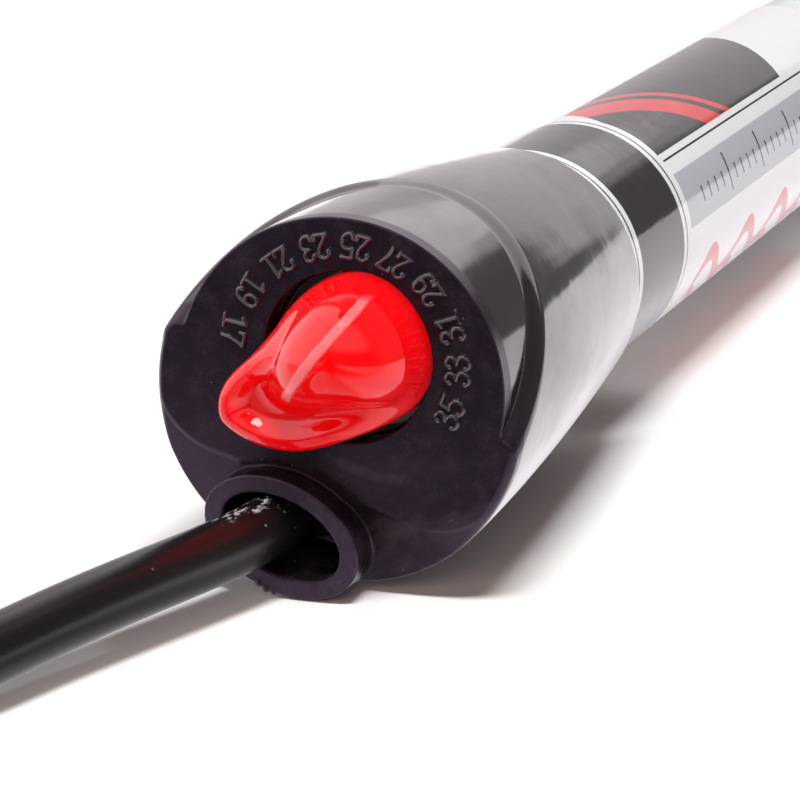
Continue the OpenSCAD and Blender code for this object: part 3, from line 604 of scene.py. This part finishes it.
# The foot of the crown on it, which is blunt behind and narrows to the front
CROWN = [
    (6.7, -0.75), (6.45, -2.2), (5.65, -3.45), (4.5, -4.45), (3.1, -5.3), (1.5, -6.0),
    (-0.6, -6.5), (-2.5, -6.62), (-4.5, -6.1), (-5.9, -5.2), (-7.0, -3.85), (-7.7, -2.0),
    (-7.9, 0), (-7.65, 2.0), (-6.85, 3.95), (-5.6, 5.4), (-3.8, 5.95), (-1.8, 5.45), (0, 4.6),
    (1.5, 3.75), (2.8, 3.1), (4.2, 2.3), (5.4, 1.4), (6.3, 0.45),
]
CROWN_MIDDLE = (-1.4, -0.4)
CROWN_HIGH = 8.4
# The raised line over the crown, from its back to its front
RIB = np.array([
    (-6.76, -4.14), (-6.1, -3.52), (-4.8, -2.9), (-3.14, -2.27), (-1.55, -1.78), (0.42, -1.08),
    (2.32, -0.38), (3.5, 0.0), (4.56, 0.32), (5.8, 0.6),
])
RIB_HIGH, RIB_HALF = 0.2, 0.45


def reach_table(outline, middle, soft):
    """A closed outline's reach from its middle, by direction, averaged over soft steps a side."""
    line = np.array(curve_through(np.array(outline), 12, closed=True)) - middle
    turn = np.arctan2(line[:, 1], line[:, 0])
    order = np.argsort(turn)
    grid = np.linspace(-math.pi, math.pi, 721)
    reach = np.interp(grid, turn[order], np.hypot(*line.T)[order], period=2 * math.pi)
    around = np.concatenate([reach[-soft - 1:-1], reach, reach[1:soft + 1]])
    return grid, np.convolve(around, np.ones(2 * soft + 1) / (2 * soft + 1), "valid")


TURN, REACH = reach_table(BRIM, BRIM_MIDDLE, 4)
# How much the outline slants to its own reach, which scales that to a distance
LEAN = 1 / np.hypot(1, np.gradient(REACH, TURN) / REACH)
CROWN_REACH = reach_table(CROWN, CROWN_MIDDLE, 12)[1]


def brim_side(p, q):
    """Distance outside the brim's outline."""
    u, v = p - BRIM_MIDDLE[0], q - BRIM_MIDDLE[1]
    turn = np.arctan2(v, u)
    return (np.hypot(u, v) - np.interp(turn, TURN, REACH)) * np.interp(turn, TURN, LEAN)


def crown_field(p, q, z):
    """An egg-shaped dome."""
    u, v = p - CROWN_MIDDLE[0], q - CROWN_MIDDLE[1]
    reach = np.interp(np.arctan2(v, u), TURN, CROWN_REACH)
    level = np.hypot(u, v) / reach
    rise = np.maximum(z - 0.6, 0) / CROWN_HIGH
    share = np.hypot(level, rise)
    return (share - 1) * share / (np.hypot(level / reach, rise / CROWN_HIGH) + 1e-6)


def rib_place(p, q):
    """Distance to the raised line, on which side of it, and the share of the way along."""
    best = np.full(np.broadcast(p, q).shape, 99.0)
    side, share = np.zeros_like(best), np.zeros_like(best)
    for i, (start, end) in enumerate(zip(RIB, RIB[1:])):
        run = end - start
        u, v = p - start[0], q - start[1]
        on = np.clip((u * run[0] + v * run[1]) / (run @ run), 0, 1)
        far = np.hypot(u - on * run[0], v - on * run[1])
        near = far < best
        best = np.where(near, far, best)
        side = np.where(near, (run[0] * v - run[1] * u) / math.sqrt(run @ run), side)
        share = np.where(near, (i + on) / (len(RIB) - 1), share)
    return best, side, share


def rib_raise(p, q):
    """Height of the flat line over the crown: a sharp step on one side, a soft one on the other."""
    far, side, share = rib_place(p, q)
    edge = (RIB_HALF - far) / np.where(side < 0, 0.1, 0.24)
    ends = smooth((share - 0.02) / 0.06) * smooth((1 - share) / 0.1)
    return RIB_HIGH * smooth(edge + 0.5) * ends


def to_beak(x, y):
    """Coordinates along and across the beak, from the dial's axis."""
    y = y - DIAL_RISE
    c, s = math.cos(BEAK), math.sin(BEAK)
    return x * c + y * s, -x * s + y * c


def knob_field(x, y, z):
    p, q = to_beak(x, y)
    side = brim_side(p, q)
    # The brim's top rises to the beak and is dished there inside its lip
    high = 0.9 + 3.6 * smooth((p + 5.5) / 10.5)
    top = high - 1.35 * smooth((-side - 1.2) / 2.1) * smooth((p + 3) / 6)
    brim = meet(side, (z - top) * 0.9, 1.3)
    # Its foot stands in the well, and the beak clears the face
    radial = np.hypot(x, y - DIAL_RISE)
    brim = np.maximum(brim, np.where(radial < 7.95, -3.3 - z, 0.6 - z))
    body = unite(crown_field(p, q, z) - rib_raise(p, q), brim, 2.2)
    return np.maximum(body, -np.maximum(radial - SHAFT_BORE, z - 4))


def knob_paint():
    paint = Paint("red_plastic", IOR=1.5, Coat_Weight=0.4, Coat_Roughness=0.03,
                  Subsurface_Weight=0.8, Subsurface_Scale=0.004,
                  Subsurface_Radius=(1.0, 0.15, 0.1))
    local = paint.local()
    rib = Node(paint.tree, paint.kept("rib", "Fac"))
    flecks = paint.noise(local, 7.0, 3.0, 0.8)
    frost = rib * flecks.ramp(0.2, 0.55)
    dust = paint.dots(local, 1.4).ramp(0.05, 0.03) * paint.noise(local, 0.7, 2.0).ramp(0.55, 0.6)
    pale = (frost * 0.7).most(dust * 0.6)
    paint.colour(paint.mix(pale, (0.93, 0.002, 0.005), (0.95, 0.3, 0.32)))
    paint.rough(rib * 0.3 + paint.noise(local, 0.5, 3.0).ramp(0.4, 0.8) * 0.04 + 0.05)
    paint.bump(flecks * rib + paint.noise(local, 0.9, 2.0) * 0.4, 0.12, 0.00008)
    return paint


def add_knob():
    points, quads, normals = shape_of(knob_field, (-11.6, -9.0, -3.7), (8.6, 12.6, 9.7), 0.125)
    p, q = to_beak(points[:, 0], points[:, 1])
    rib = rib_raise(p, q) / RIB_HIGH * (crown_field(p, q, points[:, 2]) < 0.25)
    knob = add_mesh("dial_knob_moulding", points, quads, normals, extra={"rib": rib})
    return dress(knob, "dial", "red_plastic", knob_paint(), "dial_knob")


# ---- glass and label

def lathe(name, profile, around=192):
    """A revolved profile of (radius, z) points about the tube's axis."""
    angles = np.arange(around) * 2 * math.pi / around
    points = np.array([(r * math.cos(a), r * math.sin(a), z) for r, z in profile for a in angles])
    return add_mesh(name, points, ring_quads(len(profile), around)[:, [0, 3, 2, 1]])


def tube_profile(inset):
    """The tube's side and round end, at this depth in from its outer face."""
    radius, rounding, reach = TUBE_R - inset, END_ROUND - inset, TUBE_REACH - inset
    side = [(radius, -TUBE_START)]
    side += [(radius, -d) for d in np.arange(TUBE_START + 8, reach - rounding, 8)]
    arc = [(radius - rounding + rounding * math.cos(a), -reach + rounding - rounding * math.sin(a))
           for a in np.linspace(0, math.pi / 2, 24)]
    return side + arc[:-1] + [(0.02, -reach)]


def add_glass():
    glass = lathe("glass_envelope", tube_profile(GLASS_WALL)[::-1] + tube_profile(0))
    paint = Paint("clear_glass", Base_Color=(0.88, 0.94, 0.925), IOR=1.47,
                  Transmission_Weight=1.0)
    paint.rough(paint.noise(paint.local(), 0.25, 3.0).ramp(0.5, 0.9) * 0.05 + 0.004)
    return dress(glass, "heater", "glass", paint, "glass_tube")


def label_paint():
    """Black bands, a panel with slanted ends, a ruled strip and red waves on glossy white film."""
    white, grey = (0.85, 0.86, 0.88), (0.48, 0.5, 0.55)
    ink, red = (0.019, 0.015, 0.014), (0.7, 0.03, 0.035)
    paint = Paint("label_print", IOR=1.5)
    local = paint.local()
    x, y, z = paint.split(local)
    # Where a point lies on the film: its depth, and its angle and arc round the tube
    depth = z * -1.0
    angle = y.math("ARCTAN2", x) * (180 / math.pi)
    arc = angle * (math.pi / 180 * TUBE_R)
    soft = 0.05
    band = depth.between(58.3, 75.1, soft)
    rings = depth.between(56.6, 57.0, soft).most(depth.between(76.3, 76.7, soft))
    # A wave on the band's far side, with a thin one beside it
    wave = (arc * (2 * math.pi / 10.21)).math("SINE") * 1.3 + 66.6
    behind = angle.ramp(122, 165).most(angle.ramp(-50, -90))
    crest = ((depth - wave).size() - behind * 1.05).ramp(0.0, -0.12)
    thin = ((depth - wave - 2.7).size() - behind * 0.24).ramp(0.0, -0.08)
    # A panel that runs along the tube, with slanted ends, red strokes and a line at each side
    slant = depth - arc * 0.55
    panel = slant.between(66.5, 128.0, soft) * angle.between(62, 118, 0.25) * depth.ramp(78.2, 78.3)
    swoosh = depth * 0.5 + arc + (depth * 0.12).math("SINE") * 1.5
    strokes = swoosh.between(63.2, 67.5, 0.15).most(swoosh.between(69, 70.4, 0.15)) * panel
    line = angle.between(57.5, 58.6, 0.2).most(angle.between(121.4, 122.5, 0.2))
    line = line * depth.between(78.4, 160, soft)
    # A grey strip with rules like a thermometer's, away from the panel
    strip = angle.between(22, 50, 0.3) * depth.between(78.4, 164, soft)
    tick = ((depth / 3.0).math("FRACT") - 0.5).size().ramp(0.1, 0.06)
    long_tick = ((depth / 15.0).math("FRACT") - 0.5).size().ramp(0.022, 0.012)
    ticks = (tick * angle.between(30, 38, 0.2)).most(long_tick * angle.between(26, 46, 0.2))
    ticks = ticks * strip * depth.between(84, 158, soft)
    # Three red waves low on the white, and a grey field behind
    waves = []
    for shift, half in ((0, 1.15), (4.4, 0.8), (7.8, 0.45)):
        path = (depth * (2 * math.pi / 17.0) + shift * 0.3).math("SINE") * 2.4 - (2.2 + shift)
        waves.append((arc - path).size().ramp(half + 0.1, half - 0.1))
    waves = waves[0].most(waves[1]).most(waves[2]) * depth.between(84, 150, 0.2)
    back = angle.between(-178, -120, 0.3) * depth.between(92, 150, soft)
    colour = white
    for share, over in ((strip, grey), (waves, red), (back * 0.8, (0.12, 0.12, 0.13)),
                        (ticks.most(rings).most(line), ink), (panel, ink), (strokes, red),
                        (band, ink), (band * crest, red), (band * thin, white)):
        colour = paint.mix(share, colour, over)
    paint.colour(colour)
    paint.rough(paint.noise(local, 0.3, 3.0).ramp(0.4, 0.8) * 0.07 + 0.07)
    paint.bump(paint.noise(local, 0.16, 2.0), 0.15, 0.0002)
    return paint


def add_label():
    low, high = LABEL_START, LABEL_START + LABEL_LEN
    inner, outer = TUBE_R + 0.02, TUBE_R + 0.22
    profile = [(inner, -low), (outer - 0.03, -low), (outer, -low - 0.05)]
    profile += [(outer, -d) for d in np.linspace(low + 0.2, high - 0.2, 60)]
    profile += [(outer, -high + 0.05), (outer - 0.03, -high), (inner, -high), (inner, -low)]
    label = lathe("label_film", profile, 256)
    return dress(label, "heater", "label_film", label_paint(), "label_sleeve")


# ---- heating winding

WINDING_START, WINDING_END, WINDING_TURNS, WINDING_R = 144.0, 304.0, 16, 8.7
# The wire's own coil: its radius, its pitch, the step between its points, and the wire
COIL_R, COIL_PITCH, COIL_STEP, WIRE_R = 0.42, 0.85, 0.28, 0.14


def add_winding():
    """Resistance wire, itself a fine coil, wound in a helix round the core."""
    coils = WINDING_TURNS * 2 * math.pi * WINDING_R / COIL_PITCH
    count = int(WINDING_TURNS * 2 * math.pi * WINDING_R / COIL_STEP)
    points = []
    for i in range(count + 1):
        t = i / count
        a = t * WINDING_TURNS * 2 * math.pi
        b = t * coils * 2 * math.pi
        r = WINDING_R + COIL_R * math.cos(b)
        z = -WINDING_START - (WINDING_END - WINDING_START) * t + COIL_R * math.sin(b)
        points.append((r * math.cos(a), r * math.sin(a), z))
    coil = add_mesh("heating_coil", *sweep(points, WIRE_R, 6))
    paint = Paint("heating_wire", Roughness=0.35, Metallic=1.0)
    tone = paint.noise(paint.place(), 300, 3.0)
    paint.colour(paint.mix(tone, (0.24, 0.22, 0.2), (0.42, 0.38, 0.34)))
    return dress(coil, "heater", "heating_wire", paint, "heating_winding")


# ---- cord

CORD_D = 6.0
# From the gland to the hank
ROUTE = [
    (-4.17, -159.26, 7.6), (-5.37, -164.26, 6.95), (-6.2, -167.6, 6.5), (-7.15, -170.9, 6.25),
    (-8.75, -175.45, 6), (-11.2, -182.55, 5.8), (-13.2, -188.35, 5.6), (-15.3, -194.65, 5.3),
    (-17.1, -200.65, 5), (-19.05, -207.15, 4.65), (-21.05, -213.65, 4.3), (-23.1, -220.15, 4),
    (-25.2, -226.65, 3.85), (-27.1, -233.15, 3.8), (-28.75, -239.65, 3.8),
    (-30.1, -246.15, 3.8), (-31.05, -252.65, 3.8), (-31.6, -259.15, 3.8),
    (-31.8, -265.65, 3.8), (-31.8, -272, 3.8), (-31.8, -278, 3.8),
]
# The hank: its turns, the radius of its inner fold, the pitch of loops and layers, the
# straight run between the folds, how far the tie draws it in, and the lowest layer's height
HANK_TURNS, HANK_FOLD, HANK_PITCH, HANK_RUN, HANK_WAIST, HANK_BASE = 3.5, 18.0, 6.8, 64.0, 3.0, 3.8
HANK_X, HANK_TOP = -7.0, -284.0
HANK_LOW = HANK_TOP - HANK_RUN
# A loop's steps: half a run, a fold, a run, a fold and the other half run
LOOP, RUN = 24, 4


def ease(t):
    """smooth() for one number."""
    return float(smooth(t))


def hank_point(turn):
    """A point of the folded cord, whose loops spiral in and out again in four layers."""
    # The folds are wide at even turns and narrow at odd ones, and each whole turn ends a layer
    off = abs(turn - 2 * round(turn / 2)) * LOOP
    r = HANK_FOLD + HANK_PITCH * (1 - min(1, max(0, (off - 2) / 20)))
    layer = sum(ease((turn - start) * 6 + 0.5) for start in (1, 2, 3))
    step = (turn - math.floor(turn)) * LOOP
    half = RUN / 2
    fold = LOOP / 2 - RUN
    if step < half or step >= LOOP - half:
        share = 0.5 + step / RUN if step < half else (step - LOOP + half) / RUN
        x = -r + HANK_WAIST * math.sin(math.pi * share) ** 2
        y = HANK_TOP - HANK_RUN * share
    elif step < half + fold:
        a = math.pi * (step - half) / fold
        x, y = -r * math.cos(a), HANK_LOW - r * math.sin(a)
    elif step < half + fold + RUN:
        share = (step - half - fold) / RUN
        x = r - HANK_WAIST * math.sin(math.pi * share) ** 2
        y = HANK_LOW + HANK_RUN * share
    else:
        a = math.pi * (step - half - fold - RUN) / fold
        x, y = r * math.cos(a), HANK_TOP + r * math.sin(a)
    return Vector((HANK_X + x, y, HANK_BASE + HANK_PITCH * layer))


def tail_points():
    """From the hank's last run over its end, down to the plug that lies on it."""
    last = hank_point(HANK_TURNS) + Vector((0, CORD_D, 0))
    fold, out, rise = HANK_FOLD + 0.25, 6.4, 10.2
    straight = HANK_TOP - last.y
    total = straight + math.pi * fold + CORD_D

    def at(x, y, along):
        return Vector((x, y, last.z + rise * ease(along / total)))

    points = []
    for share in np.arange(7) / 6:
        along = straight * share
        points.append(at(last.x + out * ease(share), last.y + along, along))
    for share in np.arange(1, 17) / 16:
        a = math.pi * share
        points.append(at(last.x + out - fold + fold * math.cos(a), HANK_TOP + fold * math.sin(a),
                         straight + fold * a))
    points.append(at(last.x + out - 2 * fold, HANK_TOP - CORD_D, total))
    return points


def smooth_line(points, step):
    """A smooth curve through the points at an even step, and its length."""
    dense = np.array(curve_through(points, 12))
    along = np.cumsum([0.0, *np.linalg.norm(np.diff(dense, axis=0), axis=1)])
    places = np.linspace(0, along[-1], round(along[-1] / step) + 1)
    coords = [np.interp(places, along, column) for column in dense.T]
    return [Vector(p) for p in zip(*coords)], float(along[-1])


def cord_paint():
    paint = Paint("cord_sheath", IOR=1.5)
    place = paint.place()
    x, y, z = paint.split(place)
    haze = paint.noise(place, 60, 4.0, 0.6)
    lint = paint.dots(place, 480).ramp(0.09, 0.04) * paint.noise(place, 420, 2.0).ramp(0.5, 0.6)
    # Pale flakes on top, where the cord enters the head
    flakes = paint.noise(paint.stretch(place, (1, 0.5, 1)), 900, 4.0, 0.75).ramp(0.52, 0.6)
    flakes = flakes * y.between(-0.1748, -0.166, 0.001) * z.ramp(0.0088, 0.0094)
    base = paint.mix(haze.ramp(0.4, 0.75), (0.0062, 0.0045, 0.0045), (0.0145, 0.0095, 0.009))
    paint.colour(paint.mix((lint * 0.35).most(flakes * 0.9), base, (0.6, 0.6, 0.62)))
    paint.rough(haze * 0.14 + flakes * 0.4 + 0.22)
    grain = haze * 0.6 + paint.noise(place, 1500, 2.0) * 0.4
    paint.bump(grain + flakes * 0.6, 0.12, 0.00012)
    return paint


def add_cord():
    hank = [hank_point(t) for t in np.linspace(-RUN / 2 / LOOP, HANK_TURNS, 173)]
    line = [Vector(p) for p in ROUTE] + hank + tail_points()
    points, length = smooth_line(line, 1.5)
    cord = add_mesh("mains_cord", *sweep(points, CORD_D / 2, 28), matrix=ROW)
    dress(cord, "heater", "cord_rubber", cord_paint(), "cord", "cord_hank", "cord_tail")
    return cord, points, length


# The plug's back and face, along its own y
PLUG_BACK, PLUG_FACE = 30, 65.95
# The tie's inside: half its width, and its height over the hank's four layers
TIE_HALF = HANK_FOLD + HANK_PITCH - HANK_WAIST + 3.6
TIE_TOP = HANK_BASE + 3 * HANK_PITCH + 3.3


def plug_matrix(place):
    """The plug's own frame: x across, y along the pins, z up."""
    half_turn = Matrix.Diagonal((-1, -1, 1, 1))
    return np.array(Matrix.Scale(MM, 4) @ Matrix.Translation(place) @ half_turn)


def plug_field(x, y, z):
    """Flat two-pin plug: narrow at the cord, broad at the face, finger dips on both flat sides."""
    grow = smooth((y - 29) / 15)
    half_w = 8.2 + 9.3 * grow
    half_t = 5.6 + 1.2 * grow - 0.9 * np.exp(-((y - 46) / 6) ** 2 - (x / 9) ** 2)
    side = np.abs(x) - half_w
    flat = np.abs(z) - half_t
    slant = (side + (np.abs(z) - 0.4) * 0.62) * 0.85
    body = meet(meet(side, flat, 1.4), slant, 1.6)
    return meet(body, np.maximum(PLUG_BACK - y, y - PLUG_FACE), 0.7)


def relief_field(x, y, z):
    """Sleeve that tapers to the cord, notched on two sides by turns."""
    outer = np.hypot(x, z) - 3.6 - 1.6 * np.clip(y / 30, 0, 1)
    rib = smooth((np.abs((y / 5) % 1 - 0.5) * 2 - 0.36) / 0.12)
    notch = np.where((y > 2.5) & (y < 27.5), (1 - rib) * 1.1, 0)
    around = np.arctan2(z, x) + (np.floor(y / 5) % 2) * math.pi / 2
    open_side = smooth((np.abs(np.cos(around)) - 0.35) / 0.2)
    along = np.maximum(-y, y - PLUG_BACK - 0.4)
    return meet((outer + notch * open_side) * 0.8, along, 0.3)


def tie_field(x, y, z):
    """Ribbed strap round the hank's waist."""
    def box(grow, corner):
        dx = np.abs(x) - TIE_HALF - grow + corner
        dz = np.abs(z - (TIE_TOP + 0.6) / 2) - (TIE_TOP + 0.6) / 2 + 0.6 - grow + corner
        outside = np.hypot(np.maximum(dx, 0), np.maximum(dz, 0))
        return outside + np.minimum(np.maximum(dx, dz), 0) - corner

    ridge = smooth((np.abs((x + z) / 1.4 % 1 - 0.5) - 0.2) / 0.1)
    ridge = 0.072 * ridge * smooth((2.6 - np.abs(y)) / 0.4)
    return meet(np.maximum(box(0.5, 3) + ridge, -box(0, 2.4)), np.abs(y) - 4, 0.25)


def add_plug_and_tie(place):
    matrix = plug_matrix(place)
    black = Paint("plug_plastic", Base_Color=(0.014, 0.013, 0.015), IOR=1.5)
    local = black.local()
    black.rough(black.noise(local, 3.5, 4.0, 0.6) * 0.2 + 0.34)
    black.bump(black.noise(local, 5.0, 3.0), 0.25, 0.00008)
    shape = shape_of(plug_field, (-18.4, 29.4, -7.4), (18.4, 66.6, 7.4), 0.35)
    body = add_mesh("plug_moulding", *shape, matrix=matrix)
    dress(body, "heater", "plug_plastic", black, "plug_body")
    shape = shape_of(relief_field, (-5.6, -0.5, -5.6), (5.6, 30.9, 5.6), 0.2)
    relief = add_mesh("plug_relief", *shape, matrix=matrix)
    dress(relief, "heater", "plug_plastic", black, "plug_strain_relief")
    shape = shape_of(tie_field, (-TIE_HALF - 1, -4.4, -0.3), (TIE_HALF + 1, 4.4, TIE_TOP + 1), 0.22)
    waist = Matrix.Translation((HANK_X, HANK_LOW + HANK_RUN / 2, 0))
    strap = add_mesh("cord_strap", *shape, matrix=np.array(Matrix.Scale(MM, 4) @ waist))
    rubber = Paint("strap_rubber", Base_Color=(0.02, 0.02, 0.021))
    rubber.rough(rubber.noise(rubber.local(), 2.0, 3.0) * 0.2 + 0.4)
    dress(strap, "heater", "seal_rubber", rubber, "cord_tie")
    return [body, relief, strap]


# ---- pieces that keep their solids

# Colour, roughness and whether it's a metal, by material slot
FINISHES = {
    "steel": ((0.62, 0.63, 0.65), 0.28, 1.0),
    "seal_rubber": ((0.02, 0.02, 0.022), 0.55, 0.0),
    "cord_rubber": ((0.012, 0.009, 0.009), 0.35, 0.0),
    "white_plastic": ((0.74, 0.71, 0.63), 0.45, 0.0),
    "phenolic": ((0.27, 0.11, 0.035), 0.42, 0.0),
    "brass": ((0.72, 0.5, 0.2), 0.3, 1.0),
    "bimetal": ((0.55, 0.48, 0.38), 0.33, 1.0),
    "contact_silver": ((0.85, 0.85, 0.86), 0.12, 1.0),
    "ferrite": ((0.05, 0.05, 0.056), 0.4, 0.0),
    "capacitor_blue": ((0.03, 0.12, 0.4), 0.2, 0.0),
    "neon_glass": ((0.9, 0.45, 0.25), 0.08, 0.0),
    "resistor_body": ((0.6, 0.47, 0.27), 0.35, 0.0),
    "wire_brown": ((0.17, 0.06, 0.02), 0.4, 0.0),
    "wire_blue": ((0.02, 0.09, 0.42), 0.4, 0.0),
    "mica": ((0.5, 0.43, 0.3), 0.35, 0.0),
    "ceramic": ((0.8, 0.76, 0.68), 0.6, 0.0),
    "pin_metal": ((0.74, 0.72, 0.66), 0.2, 1.0),
    "plug_plastic": ((0.014, 0.013, 0.015), 0.42, 0.0),
}


def solid_paint(name):
    """A finish for one slot, with a little wear and grain of its kind."""
    colour, rough, metal = FINISHES[name]
    paint = Paint("solid_" + name, Metallic=metal)
    place = paint.place()
    cloud = paint.noise(place, 180, 4.0, 0.6)
    fine = paint.noise(paint.stretch(place, (1, 0.15, 1)) if metal else place, 1400, 3.0, 0.6)
    darker = tuple(c * 0.78 for c in colour)
    paint.colour(paint.mix(cloud.ramp(0.3, 0.7), darker, colour))
    paint.rough(fine * 0.16 + (rough - 0.06))
    paint.bump(fine, 0.12, 0.00006)
    return paint


def dress_solids():
    slots = {part["node"]: part["material_slot"] for part in frame["record"]["subparts"]}
    paints = {}
    for node, obj in frame["nodes"].items():
        if obj.hide_render:
            continue
        name = slots[node]
        if name not in paints:
            paints[name] = solid_paint(name)
        obj.data.materials.clear()
        obj.data.materials.append(paints[name].material)


# ---- stage

def add_floor():
    mesh = bpy.data.meshes.new("floor")
    mesh.from_pydata([(-3, -3, 0), (3, -3, 0), (3, 3, 0), (-3, 3, 0)], [], [(0, 1, 2, 3)])
    floor = add_object("floor", mesh)
    paint = Paint("floor", Base_Color=(0.97, 0.965, 0.96), Roughness=0.7, Specular_IOR_Level=0.2)
    place = paint.place()
    paint.bump(paint.noise(paint.stretch(place, (1, 2.5, 1)), 900, 3.0), 0.06, 0.0002)
    # In reflections the paper glows, a painted reflection: bright beside the heater, darker right under it as a
    # painted shadow, and falling off before its face
    x, y, z = paint.split(place)
    bright = y.ramp(-0.26, -0.15) * 1.1 + y.ramp(-0.36, -0.19) * 0.2 + 0.04
    bright = bright * (x.size().ramp(0.003, 0.016) * 0.6 + 0.4)
    bright = bright.most((x * -1.0).ramp(0.03, 0.17) * 0.6).most(x.ramp(0.05, 0.12) * 0.7)
    paths = paint.new("LightPath").outputs
    glow = paint.new("Emission", Color=(1, 0.945, 0.985), Strength=bright)
    both = paint.new("MixShader")
    for slot, source in zip(both.inputs, (paths["Is Glossy Ray"], paint.shader.outputs[0],
                                          glow.outputs[0])):
        feed(paint.tree, slot, source)
    # Away from the heater the paper fades to white
    far = ((x * x + (y + 0.1) * (y + 0.1)).math("SQRT") + z).ramp(0.06, 0.4)
    sight = Node(paint.tree, paths["Is Camera Ray"]).most(
        Node(paint.tree, paths["Is Transmission Ray"]))
    white = paint.new("Emission", Strength=far * sight * 0.6)
    whole = paint.new("AddShader")
    for slot, source in zip(whole.inputs, (both.outputs[0], white.outputs[0])):
        feed(paint.tree, slot, source)
    feed(paint.tree, paint.tree.nodes["Material Output"].inputs["Surface"], whole.outputs[0])
    mesh.materials.append(paint.material)


def add_world():
    """White to the camera, dim and warm as ambient light, and a studio in reflections."""
    world = bpy.data.worlds.new("world")
    bpy.context.scene.world = world
    world.use_nodes = True
    tree = world.node_tree

    def new(kind):
        return tree.nodes.new("ShaderNode" + kind)

    def seen(kind):
        return Node(tree, paths.outputs[f"Is {kind} Ray"])

    paths, split, noise = new("LightPath"), new("SeparateXYZ"), new("TexNoise")
    direction = new("TexCoord").outputs["Generated"]
    feed(tree, split.inputs[0], direction)
    feed(tree, noise.inputs["Vector"], direction)
    feed(tree, noise.inputs["Scale"], 6.0)
    x, y, z = [Node(tree, socket) for socket in split.outputs]
    turn = x.math("ARCTAN2", y) * (180 / math.pi)
    rise = z.math("ARCSINE") * (180 / math.pi)
    # The panels' edges wander a little
    wander = (Node(tree, noise.outputs["Fac"]) - 0.5) * 16.0
    turned, risen = turn + wander, rise + wander * 0.5
    # A lit backdrop, a panel overhead, one at the left and one in front, dim elsewhere
    backdrop = turned.between(-50, 9.5, 1.0) * rise.between(-10, 60, 6) * 0.6
    above = turned.between(-25, 36, 2) * risen.between(17, 46, 1.5) * 1.25
    left = (turn + rise * 0.76).ramp(-137, -131) * turn.ramp(-56, -62)
    left = left * rise.between(-8, 80, 2) * 1.3
    front = turned.size().ramp(96, 124) * risen.between(24, 62, 7) * 0.6
    room = backdrop.most(above).most(left).most(front) + turn.between(-90, 100, 10) * 0.14 + 0.06
    glossy = seen("Glossy")
    white = seen("Camera").most(seen("Transmission"))
    rest = white.minus_from(1.0)
    level = white + rest * (glossy * room + glossy.minus_from(1.0) * 0.095)
    tint = new("CombineColor")
    for slot, value in zip(tint.inputs, (1.0, rest * (glossy * 0.23 - 0.3) + 1.0,
                                         rest * (glossy * 0.34 - 0.38) + 1.0)):
        feed(tree, slot, value)
    background = tree.nodes["Background"]
    feed(tree, background.inputs["Strength"], level)
    feed(tree, background.inputs["Color"], tint.outputs[0])


def add_lamps():
    """Lamps that point to the cap. Only the glint shows in reflections."""
    target = Vector((0, -0.14, 0.02))
    for name, place, width, height, power, colour in (
            ("key", (0.24, -0.56, 1.42), 0.5, 0.25, 21.0, (0.98, 1, 1)),
            ("back", (-0.12, 0.75, 1.05), 0.12, 0.12, 2.0, (0.95, 1, 1)),
            ("front", (0.2, -1.0, 0.5), 0.5, 0.4, 2.2, (1, 0.76, 0.68)),
            ("glint", (0.085, -0.64, 1.42), 0.2, 0.16, 1.0, (1, 1, 1)),
            ("left", (-0.7, -0.3, 0.35), 0.3, 0.4, 1.2, (1, 0.98, 0.98))):
        data = bpy.data.lights.new(name, "AREA")
        data.shape = "RECTANGLE"
        data.size, data.size_y = width, height
        data.energy, data.color = power, colour
        lamp = add_object(name, data)
        place = Vector(place)
        turn = (place - target).to_track_quat("Z", "Y").to_matrix().to_4x4()
        lamp.matrix_world = Matrix.Translation(place) @ turn
        lamp.visible_glossy = name == "glint"


# ---- the scene

add_camera()
add_cap()
add_numbers()
add_knob()
add_glass()
add_label()
add_winding()
cord, cord_points, cord_length = add_cord()
on_cord = add_plug_and_tie(cord_points[-1])
dress_solids()
add_floor()
add_world()
add_lamps()
bpy.context.scene.view_settings.view_transform = "Standard"
